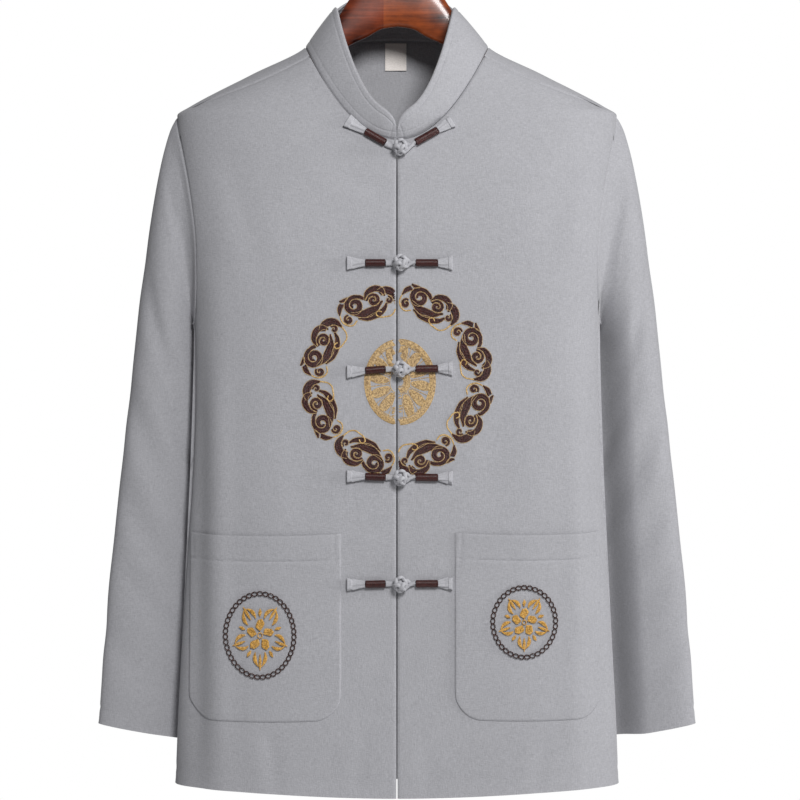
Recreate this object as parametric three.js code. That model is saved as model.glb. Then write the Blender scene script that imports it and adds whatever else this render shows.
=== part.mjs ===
// Tai chi shirt on a wooden hanger.
// Millimetres, +Z up, +X to the right of someone who looks at the front, -Y towards them.
// The origin is the seat of the hook, where it hangs on a rail, so heights are given as
// the drop below that seat.
import * as THREE from 'three';

// Driving dimensions

const CLOTH = 1.6;
const COLLAR_CLOTH = 2.2;
const SEAM_GAP = 0.36;
const COLLAR_GAP = 0.6;
const LAY_GAP = 0.3;
const FRONT_OPENING = 1.2;
const HEM = { side: 895, dip: 8, bend: 4 };

// Sections of the body. half is the half width, side the depth of the side line, front and
// back the depths of the centre lines, square how flat the front is between its sides.
const BODY = [
  { drop: 143, half: 76, side: 0, front: -32, back: 58, square: 2.4 },
  { drop: 163, half: 92, side: 0, front: -38, back: 59, square: 2.4 },
  { drop: 190, half: 145, side: 0, front: -46, back: 59, square: 2.6 },
  { drop: 223, half: 208, side: -1, front: -53.5, back: 58, square: 3.1 },
  { drop: 231, half: 219.5, side: -1, front: -55.5, back: 58, square: 3.2 },
  { drop: 265, half: 217, side: -7, front: -61, back: 57, square: 3.8 },
  { drop: 315, half: 212, side: -16, front: -65, back: 56, square: 4.4 },
  { drop: 365, half: 206, side: -22, front: -68, back: 55, square: 5 },
  { drop: 440, half: 201, side: -24, front: -69, back: 54, square: 5 },
  { drop: 560, half: 204, side: -22, front: -68, back: 54, square: 5 },
  { drop: 700, half: 211, side: -17, front: -66, back: 55, square: 5 },
  { drop: 820, half: 217.5, side: -13, front: -65, back: 57, square: 5 },
  { drop: 913, half: 221, side: -10, front: -65, back: 58, square: 5 },
];
const BACK_SQUARE = 2.2;

// The cloth's facets: rows from the hem to the pit and on to the foot of the neckline, columns
// of a front, and columns of half the back up to the shoulder seam and along it. The last rows
// of a front turn into the line of the shoulder seam.
const FRONT_ROWS = { belowPit: 11, toNeck: 5, turning: 4 };
const FRONT_COLUMNS = 12;
const BACK_ROWS_BELOW_PIT = 9;
const BACK_COLUMNS = { toSeam: 8, alongSeam: 6 };
const MIDDLE_ANGLE = 0.002;

// Neckline and collar, both seen along the loop from the centre front to the centre back.
const NECK = { half: 92, side: 163, frontFall: 98, backRise: 16, frontBend: 2.05, backBend: 2.2 };
const COLLAR_TOP = {
  centre: -2, half: 59.5, side: 124, frontFall: 110, backRise: 17, frontBend: 2.3, backBend: 6,
  frontY: -68, sideY: 1, backY: 50, frontBow: 0.5,
};
const COLLAR_CORNER = 15;

// Armhole, a loop on the body's sides. Half of the loop has an even number of steps, and the
// shoulder seam meets it one step in front of its top.
const ARMHOLE_STEPS = 14;
const ARMHOLE = {
  top: 232, pit: 440, front: 0.29, back: 0.42, bend: 0.75, seamAt: Math.PI / ARMHOLE_STEPS,
};
const SHOULDER_SEAM = { neckAt: 1.222, bend: 2.2 };

// Sections of the sleeve: its outer and inner lines, and its half depths.
const SLEEVE = [
  { outX: 226, outY: 0, outDrop: 244, inX: 202, inY: -12, inDrop: 443, front: 26, back: 34 },
  { outX: 233, outY: -2, outDrop: 268, inX: 202, inY: 0, inDrop: 449, front: 31, back: 38 },
  { outX: 239, outY: -4, outDrop: 297, inX: 200, inY: 10, inDrop: 459, front: 34, back: 40 },
  { outX: 246, outY: -6, outDrop: 339, inX: 196, inY: 18, inDrop: 475, front: 35, back: 41 },
  { outX: 253, outY: -8, outDrop: 389, inX: 193, inY: 24, inDrop: 500, front: 34, back: 40 },
  { outX: 259, outY: -9, outDrop: 445, inX: 187, inY: 29, inDrop: 535, front: 31, back: 38 },
  { outX: 266, outY: -10, outDrop: 510, inX: 181, inY: 33, inDrop: 582, front: 28, back: 35 },
  { outX: 273, outY: -10, outDrop: 575, inX: 177, inY: 36, inDrop: 637, front: 26, back: 32 },
  { outX: 280, outY: -10, outDrop: 640, inX: 174, inY: 38, inDrop: 694, front: 24, back: 29 },
  { outX: 287, outY: -10, outDrop: 705, inX: 173, inY: 38, inDrop: 752, front: 22, back: 26 },
  { outX: 292, outY: -10, outDrop: 770, inX: 175, inY: 37, inDrop: 810, front: 20, back: 23 },
  { outX: 297, outY: -9, outDrop: 837, inX: 178, inY: 35, inDrop: 862, front: 18, back: 20 },
];
// The sleeve stays this far behind the body, from this far beside it inwards.
const SLEEVE_CLEARANCE = 3;
const SLEEVE_REACH = 14;
const SLEEVE_BLEND_ROWS = 4;

// Patch pockets: the places of their corners, how far the top edge sags, the bottom corners.
const POCKETS = [
  { name: 'pocket_left', inner: -54.5, outer: -206, top: 645, bottom: 826 },
  { name: 'pocket_right', inner: 56.5, outer: 202, top: 644, bottom: 825 },
];
const POCKET_CORNER = 26;
const POCKET_SAG = 2.5;
const POCKET_GAP = 0.8;
const POCKET_LEAST_STEP = 4;

// Frog fastenings: the height of each knot, the places of the pieces across the front, and
// how high and deep each section is.
const FROG_DROPS = [270, 382, 485, 590, 693.5];
const FROG = {
  centre: 3.3,
  knot: 16,
  knotTip: 3,
  left: { end: -49, wrap: -31, neck: -11 },
  right: { neck: 18, wrap: 40, end: 54 },
  neck: { high: 4.5, deep: 4 },
  wrap: { edge: { high: 6, deep: 4 }, body: { high: 8, deep: 5.5 }, rounding: 1.5 },
  end: { far: { high: 14, deep: 2 }, middle: { high: 10, deep: 2.6 }, near: { high: 6.5, deep: 3.4 } },
};
// The first fastening follows the neckline, so its arms rise with their distance from the knot.
const FROG_RISE = [
  { reach: 0, rise: 0 }, { reach: 8, rise: 1.5 }, { reach: 16, rise: 6 },
  { reach: 36, rise: 17.5 }, { reach: 53, rise: 28 },
];

const LABEL = { width: 22, height: 28, thick: 1, drop: 150, centre: -1.3, gap: 0.6 };

// Hanger: its top and bottom lines and its half thickness, by the distance from the middle.
// Past the neck its top lies under the shoulder ridge.
const HANGER = [
  { reach: 0, top: 78, bottom: 142, half: 7 },
  { reach: 14, top: 80, bottom: 144, half: 7 },
  { reach: 30, top: 91, bottom: 152.5, half: 7 },
  { reach: 40, top: 103, bottom: 157, half: 7 },
  { reach: 50, top: 118, bottom: 162.5, half: 7 },
  { reach: 62, top: 137, bottom: 170, half: 7 },
  { reach: 78, top: 156, bottom: 179, half: 8 },
  { reach: 96, top: 169.5, bottom: 189, half: 9.5 },
  { reach: 120, top: 181.5, bottom: 202, half: 12 },
  { reach: 150, top: 198, bottom: 219.5, half: 15 },
  { reach: 180, top: 215, bottom: 236, half: 18 },
  { reach: 196, top: 225, bottom: 244, half: 15.5 },
  { reach: 203, top: 231, bottom: 242, half: 11 },
];
const HANGER_JOINT = -13.4;
const HANGER_LEAST_STEP = 2;
const HOOK = { wire: 4, bend: 21, tip: 3.5, turnIn: -0.9, stemTop: 56 };

const CLOTH_COLOUR = 0xa3a3a8;
const WRAP_COLOUR = 0x3a1512;
const LABEL_COLOUR = 0xdedbd0;
const WOOD_COLOUR = 0x7d3a1a;
const METAL_COLOUR = 0xc8c9cc;

// Tables and curves

// Reads one column of a table at a value of its key, on a smooth curve through the rows.
function read(rows, key, at, column) {
  const last = rows.length - 1;
  let i = 0;
  while (i < last - 1 && at > rows[i + 1][key]) i += 1;
  const step = rows[i + 1][key] - rows[i][key];
  const t = THREE.MathUtils.clamp((at - rows[i][key]) / step, 0, 1);
  const slope = (a, b) => (rows[b][column] - rows[a][column]) / (rows[b][key] - rows[a][key]);
  const here = slope(i, i + 1);
  const before = i > 0 ? gentler(slope(i - 1, i), here) : here;
  const after = i < last - 1 ? gentler(here, slope(i + 1, i + 2)) : here;
  const cubic = rows[i][column] * (1 + 2 * t) * (1 - t) ** 2
    + rows[i + 1][column] * t * t * (3 - 2 * t);
  return cubic + step * t * (1 - t) * (before * (1 - t) - after * t);
}

// A slope between two others that never overshoots.
function gentler(a, b) {
  return a * b <= 0 ? 0 : (2 * a * b) / (a + b);
}

function mix(a, b, t) {
  return a + (b - a) * t;
}

// The body's surface

// A point of the body at an angle round it, 0 at the centre front and PI at the centre back.
// A negative angle is the other side.
function body(angle, drop) {
  const sine = Math.sin(angle);
  const half = read(BODY, 'drop', drop, 'half');
  const side = read(BODY, 'drop', drop, 'side');
  const isFront = Math.cos(angle) >= 0;
  const square = isFront ? read(BODY, 'drop', drop, 'square') : BACK_SQUARE;
  const centre = read(BODY, 'drop', drop, isFront ? 'front' : 'back');
  const y = side + (centre - side) * Math.sqrt(Math.max(0, 1 - Math.abs(sine) ** square));
  return new THREE.Vector3(half * sine, y, -drop);
}

function bodyNormal(angle, drop) {
  const step = 0.004;
  const across = body(angle + step, drop).sub(body(angle - step, drop));
  const down = body(angle, drop + 1).sub(body(angle, drop - 1));
  return down.cross(across).normalize();
}

// The angle at which the body has a given x, in front of the side line or behind it.
function angleAt(x, drop, behind = false) {
  const half = read(BODY, 'drop', drop, 'half');
  const angle = Math.asin(THREE.MathUtils.clamp(x / half, -1, 1));
  return behind ? Math.sign(x || 1) * Math.PI - angle : angle;
}

// A point over the front, raised off the cloth.
function onFront(x, drop, raise) {
  const angle = angleAt(x, drop);
  return body(angle, drop).addScaledVector(bodyNormal(angle, drop), raise);
}

// Lines on the body, each a function to a place { angle, drop } on the right side

// The neckline, from 0 at the centre front to PI at the centre back.
function neckline(turn) {
  const sine = Math.sin(turn);
  const behind = turn > Math.PI / 2;
  const drop = behind
    ? NECK.side - NECK.backRise * (1 - sine ** NECK.backBend)
    : NECK.side + NECK.frontFall * (1 - sine ** NECK.frontBend);
  return { angle: angleAt(NECK.half * sine, drop, behind), drop };
}

// The armhole, from 0 at the shoulder down the front to PI at the pit and up the back.
function armhole(turn) {
  const share = (1 - Math.cos(turn)) / 2;
  const drop = mix(ARMHOLE.top, ARMHOLE.pit, share);
  const bow = Math.abs(Math.sin(turn)) ** (2 * ARMHOLE.bend) * Math.sign(Math.sin(turn));
  const reach = bow > 0 ? ARMHOLE.front : ARMHOLE.back;
  return { angle: Math.PI / 2 - reach * bow, drop };
}

// The hem dips a little in the middle of the front and of the back.
function hemAt(angle) {
  return HEM.side + HEM.dip * Math.cos(angle) ** HEM.bend;
}

function shoulderSeam(share) {
  const neck = neckline(SHOULDER_SEAM.neckAt);
  const end = armhole(ARMHOLE.seamAt);
  return {
    angle: mix(neck.angle, end.angle, share ** SHOULDER_SEAM.bend),
    drop: mix(neck.drop, end.drop, share),
  };
}

// Walls

// Evenly spaced numbers from a to b, n steps.
function steps(a, b, n) {
  return Array.from({ length: n + 1 }, (_, i) => mix(a, b, i / n));
}

// Joins an outer and an inner grid of points into one closed wall. A round grid's columns
// close on themselves.
function wall(outer, inner, round = false) {
  const rows = outer.length;
  const columns = outer[0].length;
  const points = [...outer.flat(), ...inner.flat()];
  const index = [];
  const at = (layer, i, j) => layer * rows * columns + i * columns + (j % columns);
  const quad = (a, b, c, d) => index.push(a, b, c, a, c, d);
  const lastColumn = round ? columns : columns - 1;
  for (let i = 0; i < rows - 1; i += 1) {
    for (let j = 0; j < lastColumn; j += 1) {
      quad(at(0, i, j), at(0, i, j + 1), at(0, i + 1, j + 1), at(0, i + 1, j));
      quad(at(1, i, j), at(1, i + 1, j), at(1, i + 1, j + 1), at(1, i, j + 1));
    }
  }
  for (let j = 0; j < lastColumn; j += 1) {
    quad(at(0, 0, j + 1), at(0, 0, j), at(1, 0, j), at(1, 0, j + 1));
    quad(at(0, rows - 1, j), at(0, rows - 1, j + 1), at(1, rows - 1, j + 1), at(1, rows - 1, j));
  }
  for (let i = 0; i < rows - 1 && !round; i += 1) {
    quad(at(0, i, 0), at(0, i + 1, 0), at(1, i + 1, 0), at(1, i, 0));
    quad(at(0, i + 1, columns - 1), at(0, i, columns - 1), at(1, i, columns - 1),
      at(1, i + 1, columns - 1));
  }
  return solid(points, index);
}

// A solid skinned over closed rings of points, with its first and last ring capped.
function loft(rings) {
  const count = rings[0].length;
  const points = rings.flat();
  const index = [];
  for (let i = 0; i < rings.length - 1; i += 1) {
    for (let j = 0; j < count; j += 1) {
      const a = i * count + j;
      const b = i * count + ((j + 1) % count);
      index.push(a, b, b + count, a, b + count, a + count);
    }
  }
  const end = (rings.length - 1) * count;
  for (let j = 1; j < count - 1; j += 1) {
    index.push(0, j + 1, j, end, end + j, end + j + 1);
  }
  return solid(points, index);
}

// A geometry whose faces point out, whichever way its points were listed.
function solid(points, index) {
  let volume = 0;
  for (let k = 0; k < index.length; k += 3) {
    const [a, b, c] = [0, 1, 2].map((n) => points[index[k + n]]);
    volume += a.dot(b.clone().cross(c));
  }
  const geometry = new THREE.BufferGeometry().setFromPoints(points);
  geometry.setIndex(volume < 0 ? index.toReversed() : index);
  geometry.computeVertexNormals();
  return geometry;
}

// Moves the points of one edge of a grid a little towards their neighbours, square to the edge.
function trim(edge, neighbours, gap) {
  const moves = edge.map((point, k) => {
    const next = edge[Math.min(k + 1, edge.length - 1)];
    const along = next.clone().sub(edge[Math.max(k - 1, 0)]).normalize();
    const away = neighbours[k].clone().sub(point);
    return away.addScaledVector(along, -away.dot(along)).setLength(gap);
  });
  edge.forEach((point, k) => point.add(moves[k]));
}

// Moves the points of a loop on the body a seam's gap towards the hole that it goes round.
function intoHole(loop, normals, centre) {
  const moves = loop.map((point, k) => {
    const along = loop[(k + 1) % loop.length].clone().sub(loop.at(k - 1));
    const inward = along.cross(normals[k]).setLength(SEAM_GAP);
    return inward.dot(centre.clone().sub(point)) < 0 ? inward.negate() : inward;
  });
  loop.forEach((point, k) => point.add(moves[k]));
}

function column(grid, j) {
  return grid.map((row) => row.at(j));
}

// The normals of a grid of points, from its neighbours.
function gridNormals(grid, round) {
  const columns = grid[0].length;
  return grid.map((row, i) => row.map((_, j) => {
    const before = round ? (j - 1 + columns) % columns : Math.max(j - 1, 0);
    const after = round ? (j + 1) % columns : Math.min(j + 1, columns - 1);
    const across = row[after].clone().sub(row[before]);
    const above = grid[Math.max(i - 1, 0)][j];
    const below = grid[Math.min(i + 1, grid.length - 1)][j];
    return below.clone().sub(above).cross(across).normalize();
  }));
}

function offset(grid, normals, distance) {
  return grid.map((row, i) => row.map((p, j) => p.clone().addScaledVector(normals[i][j], distance)));
}

function mesh(name, geometry, colour, roughness = 0.9, metalness = 0) {
  const material = new THREE.MeshStandardMaterial({ color: colour, roughness, metalness });
  const piece = new THREE.Mesh(geometry, material);
  piece.name = name;
  return piece;
}

// Fronts and back

// A wall from places on the body: its outer face is the body's surface.
function bodyWall(places, flip) {
  const outer = places.map((row) => row.map((p) => body(flip * p.angle, p.drop)));
  const normals = places.map((row) => row.map((p) => bodyNormal(flip * p.angle, p.drop)));
  return { outer, normals };
}

function front(name, flip) {
  const { belowPit, toNeck, turning } = FRONT_ROWS;
  const alongNeck = ARMHOLE_STEPS - 1 - toNeck;
  const pit = ARMHOLE.pit;
  const neckDrop = neckline(0).drop;
  const inner = [
    ...steps(hemAt(0), pit, belowPit).map((drop) => ({ angle: MIDDLE_ANGLE, drop })),
    ...steps(pit, neckDrop, toNeck).slice(1).map((drop) => ({ angle: MIDDLE_ANGLE, drop })),
    ...steps(0, SHOULDER_SEAM.neckAt, alongNeck).slice(1).map(neckline),
  ];
  const outer = [
    ...steps(HEM.side, pit, belowPit).map((drop) => ({ angle: Math.PI / 2, drop })),
    ...steps(Math.PI, ARMHOLE.seamAt, toNeck + alongNeck).slice(1).map(armhole),
  ];
  const places = inner.map((from, i) => steps(0, 1, FRONT_COLUMNS).map((share) => {
    const to = outer[i];
    const top = shoulderSeam(share);
    const pull = THREE.MathUtils.smoothstep(i, inner.length - turning, inner.length - 1);
    const angle = mix(from.angle, to.angle, share);
    const even = mix(hemAt(0), HEM.side, share);
    const dip = Math.max(0, 1 - i / belowPit) * (hemAt(angle) - even);
    const [start, end] = [inner.at(-1), outer.at(-1)];
    return {
      angle: angle + pull * (top.angle - mix(start.angle, end.angle, share)),
      drop: mix(from.drop, to.drop, share) + dip
        + pull * (top.drop - mix(start.drop, end.drop, share)),
    };
  }));
  const { outer: grid, normals } = bodyWall(places, flip);
  const level = belowPit + toNeck;
  grid.forEach((row, i) => {
    if (i <= level) row[0].x = flip * (FRONT_OPENING / 2);
  });
  return mesh(name, wall(grid, offset(grid, normals, -CLOTH)), CLOTH_COLOUR);
}

function back() {
  const { toSeam, alongSeam } = BACK_COLUMNS;
  const side = [
    ...steps(HEM.side, ARMHOLE.pit, BACK_ROWS_BELOW_PIT)
      .map((drop) => ({ angle: Math.PI / 2, drop })),
    ...steps(-Math.PI, ARMHOLE.seamAt, ARMHOLE_STEPS + 1).slice(1).map(armhole),
  ];
  const top = [
    ...steps(Math.PI, SHOULDER_SEAM.neckAt, toSeam).map(neckline),
    ...steps(0, 1, alongSeam).slice(1).map(shoulderSeam),
  ];
  const rows = side.length - 1;
  const columns = top.length - 1;
  const half = side.map((edge, i) => top.map((above, j) => {
    const rise = i / rows;
    const across = j / columns;
    const hemAngle = mix(Math.PI, Math.PI / 2, across);
    const straight = (a, b) => mix(a, b, rise);
    return {
      angle: straight(hemAngle, above.angle)
        + across * (edge.angle - straight(Math.PI / 2, top[columns].angle)),
      drop: straight(hemAt(hemAngle), above.drop)
        + across * (edge.drop - straight(HEM.side, top[columns].drop))
        + (1 - across) * (mix(edge.drop, top[0].drop, rise ** 3) - straight(HEM.side, top[0].drop)),
    };
  }));
  const places = half.map((row) => [
    ...row.slice(1).toReversed().map((p) => ({ angle: -p.angle, drop: p.drop })),
    ...row,
  ]);
  const { outer: grid, normals } = bodyWall(places, 1);
  trim(column(grid, 0), column(grid, 1), SEAM_GAP);
  trim(column(grid, -1), column(grid, -2), SEAM_GAP);
  const last = grid.length - 1;
  const onSeam = (j) => Math.abs(j - columns) > toSeam;
  const edge = grid[last].filter((_, j) => onSeam(j));
  const next = grid[last - 1].filter((_, j) => onSeam(j));
  trim(edge, next, SEAM_GAP);
  return mesh('back', wall(grid, offset(grid, normals, -CLOTH)), CLOTH_COLOUR);
}

// Sleeves

function sleeve(name, flip) {
  const turns = steps(0, 2 * Math.PI, 2 * ARMHOLE_STEPS).slice(0, -1);
  const seam = turns.map((turn) => {
    const place = armhole(turn > Math.PI ? turn - 2 * Math.PI : turn);
    return { point: body(place.angle, place.drop), normal: bodyNormal(place.angle, place.drop) };
  });
  const rings = SLEEVE.map((row) => oval(row, turns));
  const grid = [seam.map((s) => s.point.clone())];
  const pit = seam[ARMHOLE_STEPS].point;
  rings.forEach((ring, i) => {
    const blend = THREE.MathUtils.smoothstep(i + 1, 0, SLEEVE_BLEND_ROWS);
    const fromTop = ring[0].clone().sub(seam[0].point);
    const fromPit = ring[ARMHOLE_STEPS].clone().sub(pit);
    grid.push(ring.map((p, j) => {
      const move = fromTop.clone().lerp(fromPit, (1 - Math.cos(turns[j])) / 2);
      const carried = seam[j].point.clone().add(move);
      const share = THREE.MathUtils.smoothstep(i, 0, SLEEVE_BLEND_ROWS);
      return clearOfBody(carried.lerp(p, blend), share);
    }));
  });
  intoHole(grid[0], seam.map((s) => s.normal), centreOf(seam));
  const normals = facing(gridNormals(grid, true), new THREE.Vector3(1, 0, 0), 0);
  normals[0] = seam.map((s) => s.normal);
  const inner = offset(grid, normals, -CLOTH);
  const mirror = (p) => new THREE.Vector3(flip * p.x, p.y, p.z);
  const shape = wall(grid.map((r) => r.map(mirror)), inner.map((r) => r.map(mirror)), true);
  return mesh(name, shape, CLOTH_COLOUR);
}

// One section of a sleeve: an oval between its outer and inner lines.
function oval(row, turns) {
  const out = new THREE.Vector3(row.outX, row.outY, -row.outDrop);
  const inside = new THREE.Vector3(row.inX, row.inY, -row.inDrop);
  const centre = out.clone().add(inside).multiplyScalar(0.5);
  const along = out.clone().sub(inside).multiplyScalar(0.5);
  const unit = along.clone().normalize();
  const depth = new THREE.Vector3(0, 1, 0).addScaledVector(unit, -unit.y).normalize();
  return turns.map((turn) => {
    const reach = Math.sin(turn) > 0 ? -row.front : row.back;
    return centre.clone()
      .addScaledVector(along, Math.cos(turn))
      .addScaledVector(depth, reach * Math.abs(Math.sin(turn)));
  });
}

function centreOf(seam) {
  const sum = new THREE.Vector3();
  seam.forEach((s) => sum.add(s.point));
  return sum.multiplyScalar(1 / seam.length);
}

// Moves a point of the sleeve back until it clears the body, by a share that is small near
// the armhole.
function clearOfBody(point, share) {
  const drop = -point.z;
  const half = read(BODY, 'drop', drop, 'half');
  const reach = Math.min(Math.abs(point.x), half);
  const behind = body(angleAt(reach, drop, true), drop).y + SLEEVE_CLEARANCE;
  const near = THREE.MathUtils.smoothstep(half + SLEEVE_REACH - point.x, 0, SLEEVE_REACH);
  if (point.y < behind) point.y = mix(point.y, behind, near * share);
  return point;
}

// Collar

// A standing band with rounded front corners, its foot on the neckline.
function collar() {
  const [around, high, crowding] = [20, 4, 1.6];
  const half = steps(0, 1, around).map((share) => collarPost(Math.PI * share ** crowding));
  const bothSides = (right) => [...right.map(mirrored), ...right.slice(0, -1).toReversed()];
  let run = 0;
  const tops = half.map((post, i) => {
    run += i > 0 ? post.top.distanceTo(half[i - 1].top) : 0;
    const left = Math.max(0, COLLAR_CORNER - run);
    const cut = COLLAR_CORNER - Math.sqrt(COLLAR_CORNER ** 2 - left ** 2);
    return post.top.clone().lerp(post.foot, cut / post.top.distanceTo(post.foot));
  });
  const grid = steps(0, 1, high).map((rise) => (
    bothSides(half.map((post, i) => post.foot.clone().lerp(tops[i], rise)))));
  grid.forEach((row, i) => row.forEach((point) => {
    point.x += COLLAR_TOP.centre * (i / high) * Math.min(1, Math.abs(point.x) / COLLAR_TOP.half);
  }));
  trim(grid[0], grid[1], COLLAR_GAP);
  const normals = facing(gridNormals(grid, false), new THREE.Vector3(-1, 0, 0), Math.round(around / 2));
  normals[0] = bothSides(half.map((post) => post.normal));
  return mesh('collar', wall(grid, offset(grid, normals, -COLLAR_CLOTH)), CLOTH_COLOUR);
}

// The foot and the top of the collar at a turn round the neck.
function collarPost(turn) {
  const place = neckline(turn);
  const sine = Math.sin(turn);
  const behind = turn > Math.PI / 2;
  const topDrop = behind
    ? COLLAR_TOP.side - COLLAR_TOP.backRise * (1 - sine ** COLLAR_TOP.backBend)
    : COLLAR_TOP.side + COLLAR_TOP.frontFall * (1 - sine ** COLLAR_TOP.frontBend);
  const centreY = behind ? COLLAR_TOP.backY : COLLAR_TOP.frontY;
  const y = mix(COLLAR_TOP.sideY, centreY, Math.abs(Math.cos(turn)) ** (behind ? 1 : COLLAR_TOP.frontBow));
  const least = turn < Math.PI / 2 ? FRONT_OPENING / 2 : 0;
  const foot = body(place.angle, place.drop);
  foot.x = Math.max(foot.x, least);
  const top = new THREE.Vector3(Math.max(COLLAR_TOP.half * sine, least), y, -topDrop);
  return { foot, top, normal: bodyNormal(place.angle, place.drop) };
}

function mirrored(p) {
  return new THREE.Vector3(-p.x, p.y, p.z);
}

// Turns a grid's normals so that those in one column of its last row point a given way.
function facing(normals, way, j) {
  const turn = normals.at(-1)[j].dot(way) < 0 ? -1 : 1;
  return normals.map((row) => row.map((n) => n.multiplyScalar(turn)));
}

// Pockets

// A patch on the front: its side edges are straight and its bottom corners round.
function pocket({ name, inner, outer, top, bottom }) {
  const [corner, down] = [4, 9];
  const width = Math.abs(outer - inner);
  const curve = steps(0, Math.PI / 2, corner).map((t) => POCKET_CORNER * (1 - Math.cos(t)));
  const middle = steps(0, Math.PI / 2, FRONT_COLUMNS)
    .map((angle) => body(angle, bottom).x - Math.abs(inner))
    .filter((d) => d > POCKET_CORNER + POCKET_LEAST_STEP && d < width - POCKET_CORNER);
  const across = [...curve, ...middle, ...curve.toReversed().map((d) => width - d)];
  const grid = [];
  const normals = [];
  steps(0, 1, down).forEach((share) => {
    const places = across.map((d) => {
      const x = inner + Math.sign(outer - inner) * d;
      const toSide = Math.max(0, POCKET_CORNER - Math.min(d, width - d));
      const round = POCKET_CORNER - Math.sqrt(POCKET_CORNER ** 2 - toSide ** 2);
      const sag = POCKET_SAG * 4 * (d / width) * (1 - d / width);
      const drop = mix(top, bottom - round, share) + sag;
      return { angle: angleAt(x, drop), drop };
    });
    normals.push(places.map((p) => bodyNormal(p.angle, p.drop)));
    grid.push(places.map((p) => body(p.angle, p.drop)));
  });
  const outside = offset(grid, normals, POCKET_GAP + CLOTH);
  return mesh(name, wall(outside, offset(grid, normals, POCKET_GAP)), CLOTH_COLOUR);
}

function label() {
  const [across, down] = [3, 3];
  const places = steps(0, 1, down).map((fall) => steps(-0.5, 0.5, across).map((share) => {
    const drop = LABEL.drop + fall * LABEL.height;
    return { angle: angleAt(LABEL.centre + share * LABEL.width, drop, true), drop };
  }));
  const { outer, normals } = bodyWall(places, 1);
  const near = offset(outer, normals, -CLOTH - LABEL.gap);
  const far = offset(outer, normals, -CLOTH - LABEL.gap - LABEL.thick);
  return mesh('label', wall(near, far), LABEL_COLOUR, 0.8);
}

// Frog fastenings

// A closed ring of points: an oval on a centre, with two half axes.
function ring(centre, sideways, upright, count) {
  return Array.from({ length: count }, (_, k) => {
    const turn = (2 * Math.PI * k) / count;
    return centre.clone()
      .addScaledVector(sideways, Math.cos(turn))
      .addScaledVector(upright, Math.sin(turn));
  });
}

// A bar that lies on the front and runs sideways through sections { at, high, deep }.
function bar(name, sections, dropAt, colour, count = 8) {
  const rings = sections.map(({ at, high, deep }) => {
    const angle = angleAt(at, dropAt(at));
    const normal = bodyNormal(angle, dropAt(at));
    const centre = onFront(at, dropAt(at), deep / 2 + LAY_GAP);
    const step = 0.5;
    const along = onFront(at + step, dropAt(at + step), 0)
      .sub(onFront(at - step, dropAt(at - step), 0)).normalize();
    const across = normal.clone().cross(along).normalize();
    return ring(centre, across.multiplyScalar(high / 2), normal.multiplyScalar(deep / 2), count);
  });
  return mesh(name, loft(rings), colour, 0.8);
}

// One fastening: a strap end, a wrap and a ball knot on the left, a loop, a wrap and a strap
// end on the right.
function frog(number, drop) {
  const dropAt = (x) => {
    const rise = number > 1 ? 0 : read(FROG_RISE, 'reach', Math.abs(x - FROG.centre), 'rise');
    return drop - rise;
  };
  const name = (piece) => `frog_${number}_${piece}`;
  const { left, right, knot, knotTip, neck, wrap, end } = FROG;
  const strap = (a, b) => [{ at: a, ...end.far }, { at: mix(a, b, 0.5), ...end.middle },
    { at: b, ...end.near }];
  const wrapped = (a, b) => [{ at: a, ...wrap.edge }, { at: a + wrap.rounding, ...wrap.body },
    { at: mix(a, b, 0.5), ...wrap.body }, { at: b - wrap.rounding, ...wrap.body },
    { at: b, ...wrap.edge }];
  const ball = steps(0, 1, 6).slice(1).map((share) => {
    const at = knot * (share - 0.5);
    const size = Math.max(2 * Math.sqrt(Math.max((knot / 2) ** 2 - at ** 2, 0)), knotTip);
    return { at: FROG.centre + at, high: size, deep: size };
  });
  const gap = LAY_GAP;
  return [
    bar(name('strap_left'), strap(left.end, left.wrap - gap), dropAt, CLOTH_COLOUR),
    bar(name('wrap_left'), wrapped(left.wrap, left.neck), dropAt, WRAP_COLOUR),
    bar(name('knot'), [{ at: left.neck + gap, ...neck }, { at: FROG.centre - knot / 2, ...neck },
      ...ball], dropAt, CLOTH_COLOUR, 12),
    bar(name('loop'), [{ at: FROG.centre + knot / 2 + gap, ...neck },
      { at: right.neck - gap, ...neck }], dropAt, CLOTH_COLOUR),
    bar(name('wrap_right'), wrapped(right.neck, right.wrap), dropAt, WRAP_COLOUR),
    bar(name('strap_right'), strap(right.end, right.wrap + gap), dropAt, CLOTH_COLOUR),
  ];
}

// Hanger and hook

// One half of the hanger, a wooden arm of oval sections between two distances from the middle.
function hangerHalf(name, from, to) {
  const flip = Math.sign(to);
  const rows = HANGER.map((row) => row.reach * flip)
    .filter((x) => (x - from) * flip > HANGER_LEAST_STEP);
  const rings = [from, ...rows].map((x) => {
    const at = (columnName) => read(HANGER, 'reach', Math.abs(x), columnName);
    const centre = new THREE.Vector3(x, 0, -(at('top') + at('bottom')) / 2);
    const tall = new THREE.Vector3(0, 0, (at('bottom') - at('top')) / 2);
    return squareRing(centre, new THREE.Vector3(0, at('half'), 0), tall);
  });
  return mesh(name, loft(rings), WOOD_COLOUR, 0.45);
}

// A ring between an oval and a rectangle.
function squareRing(centre, sideways, upright) {
  const [count, square] = [12, 0.7];
  const soft = (v) => Math.sign(v) * Math.abs(v) ** square;
  return Array.from({ length: count }, (_, k) => {
    const turn = (2 * Math.PI * k) / count;
    return centre.clone()
      .addScaledVector(sideways, soft(Math.cos(turn)))
      .addScaledVector(upright, soft(Math.sin(turn)));
  });
}

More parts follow.
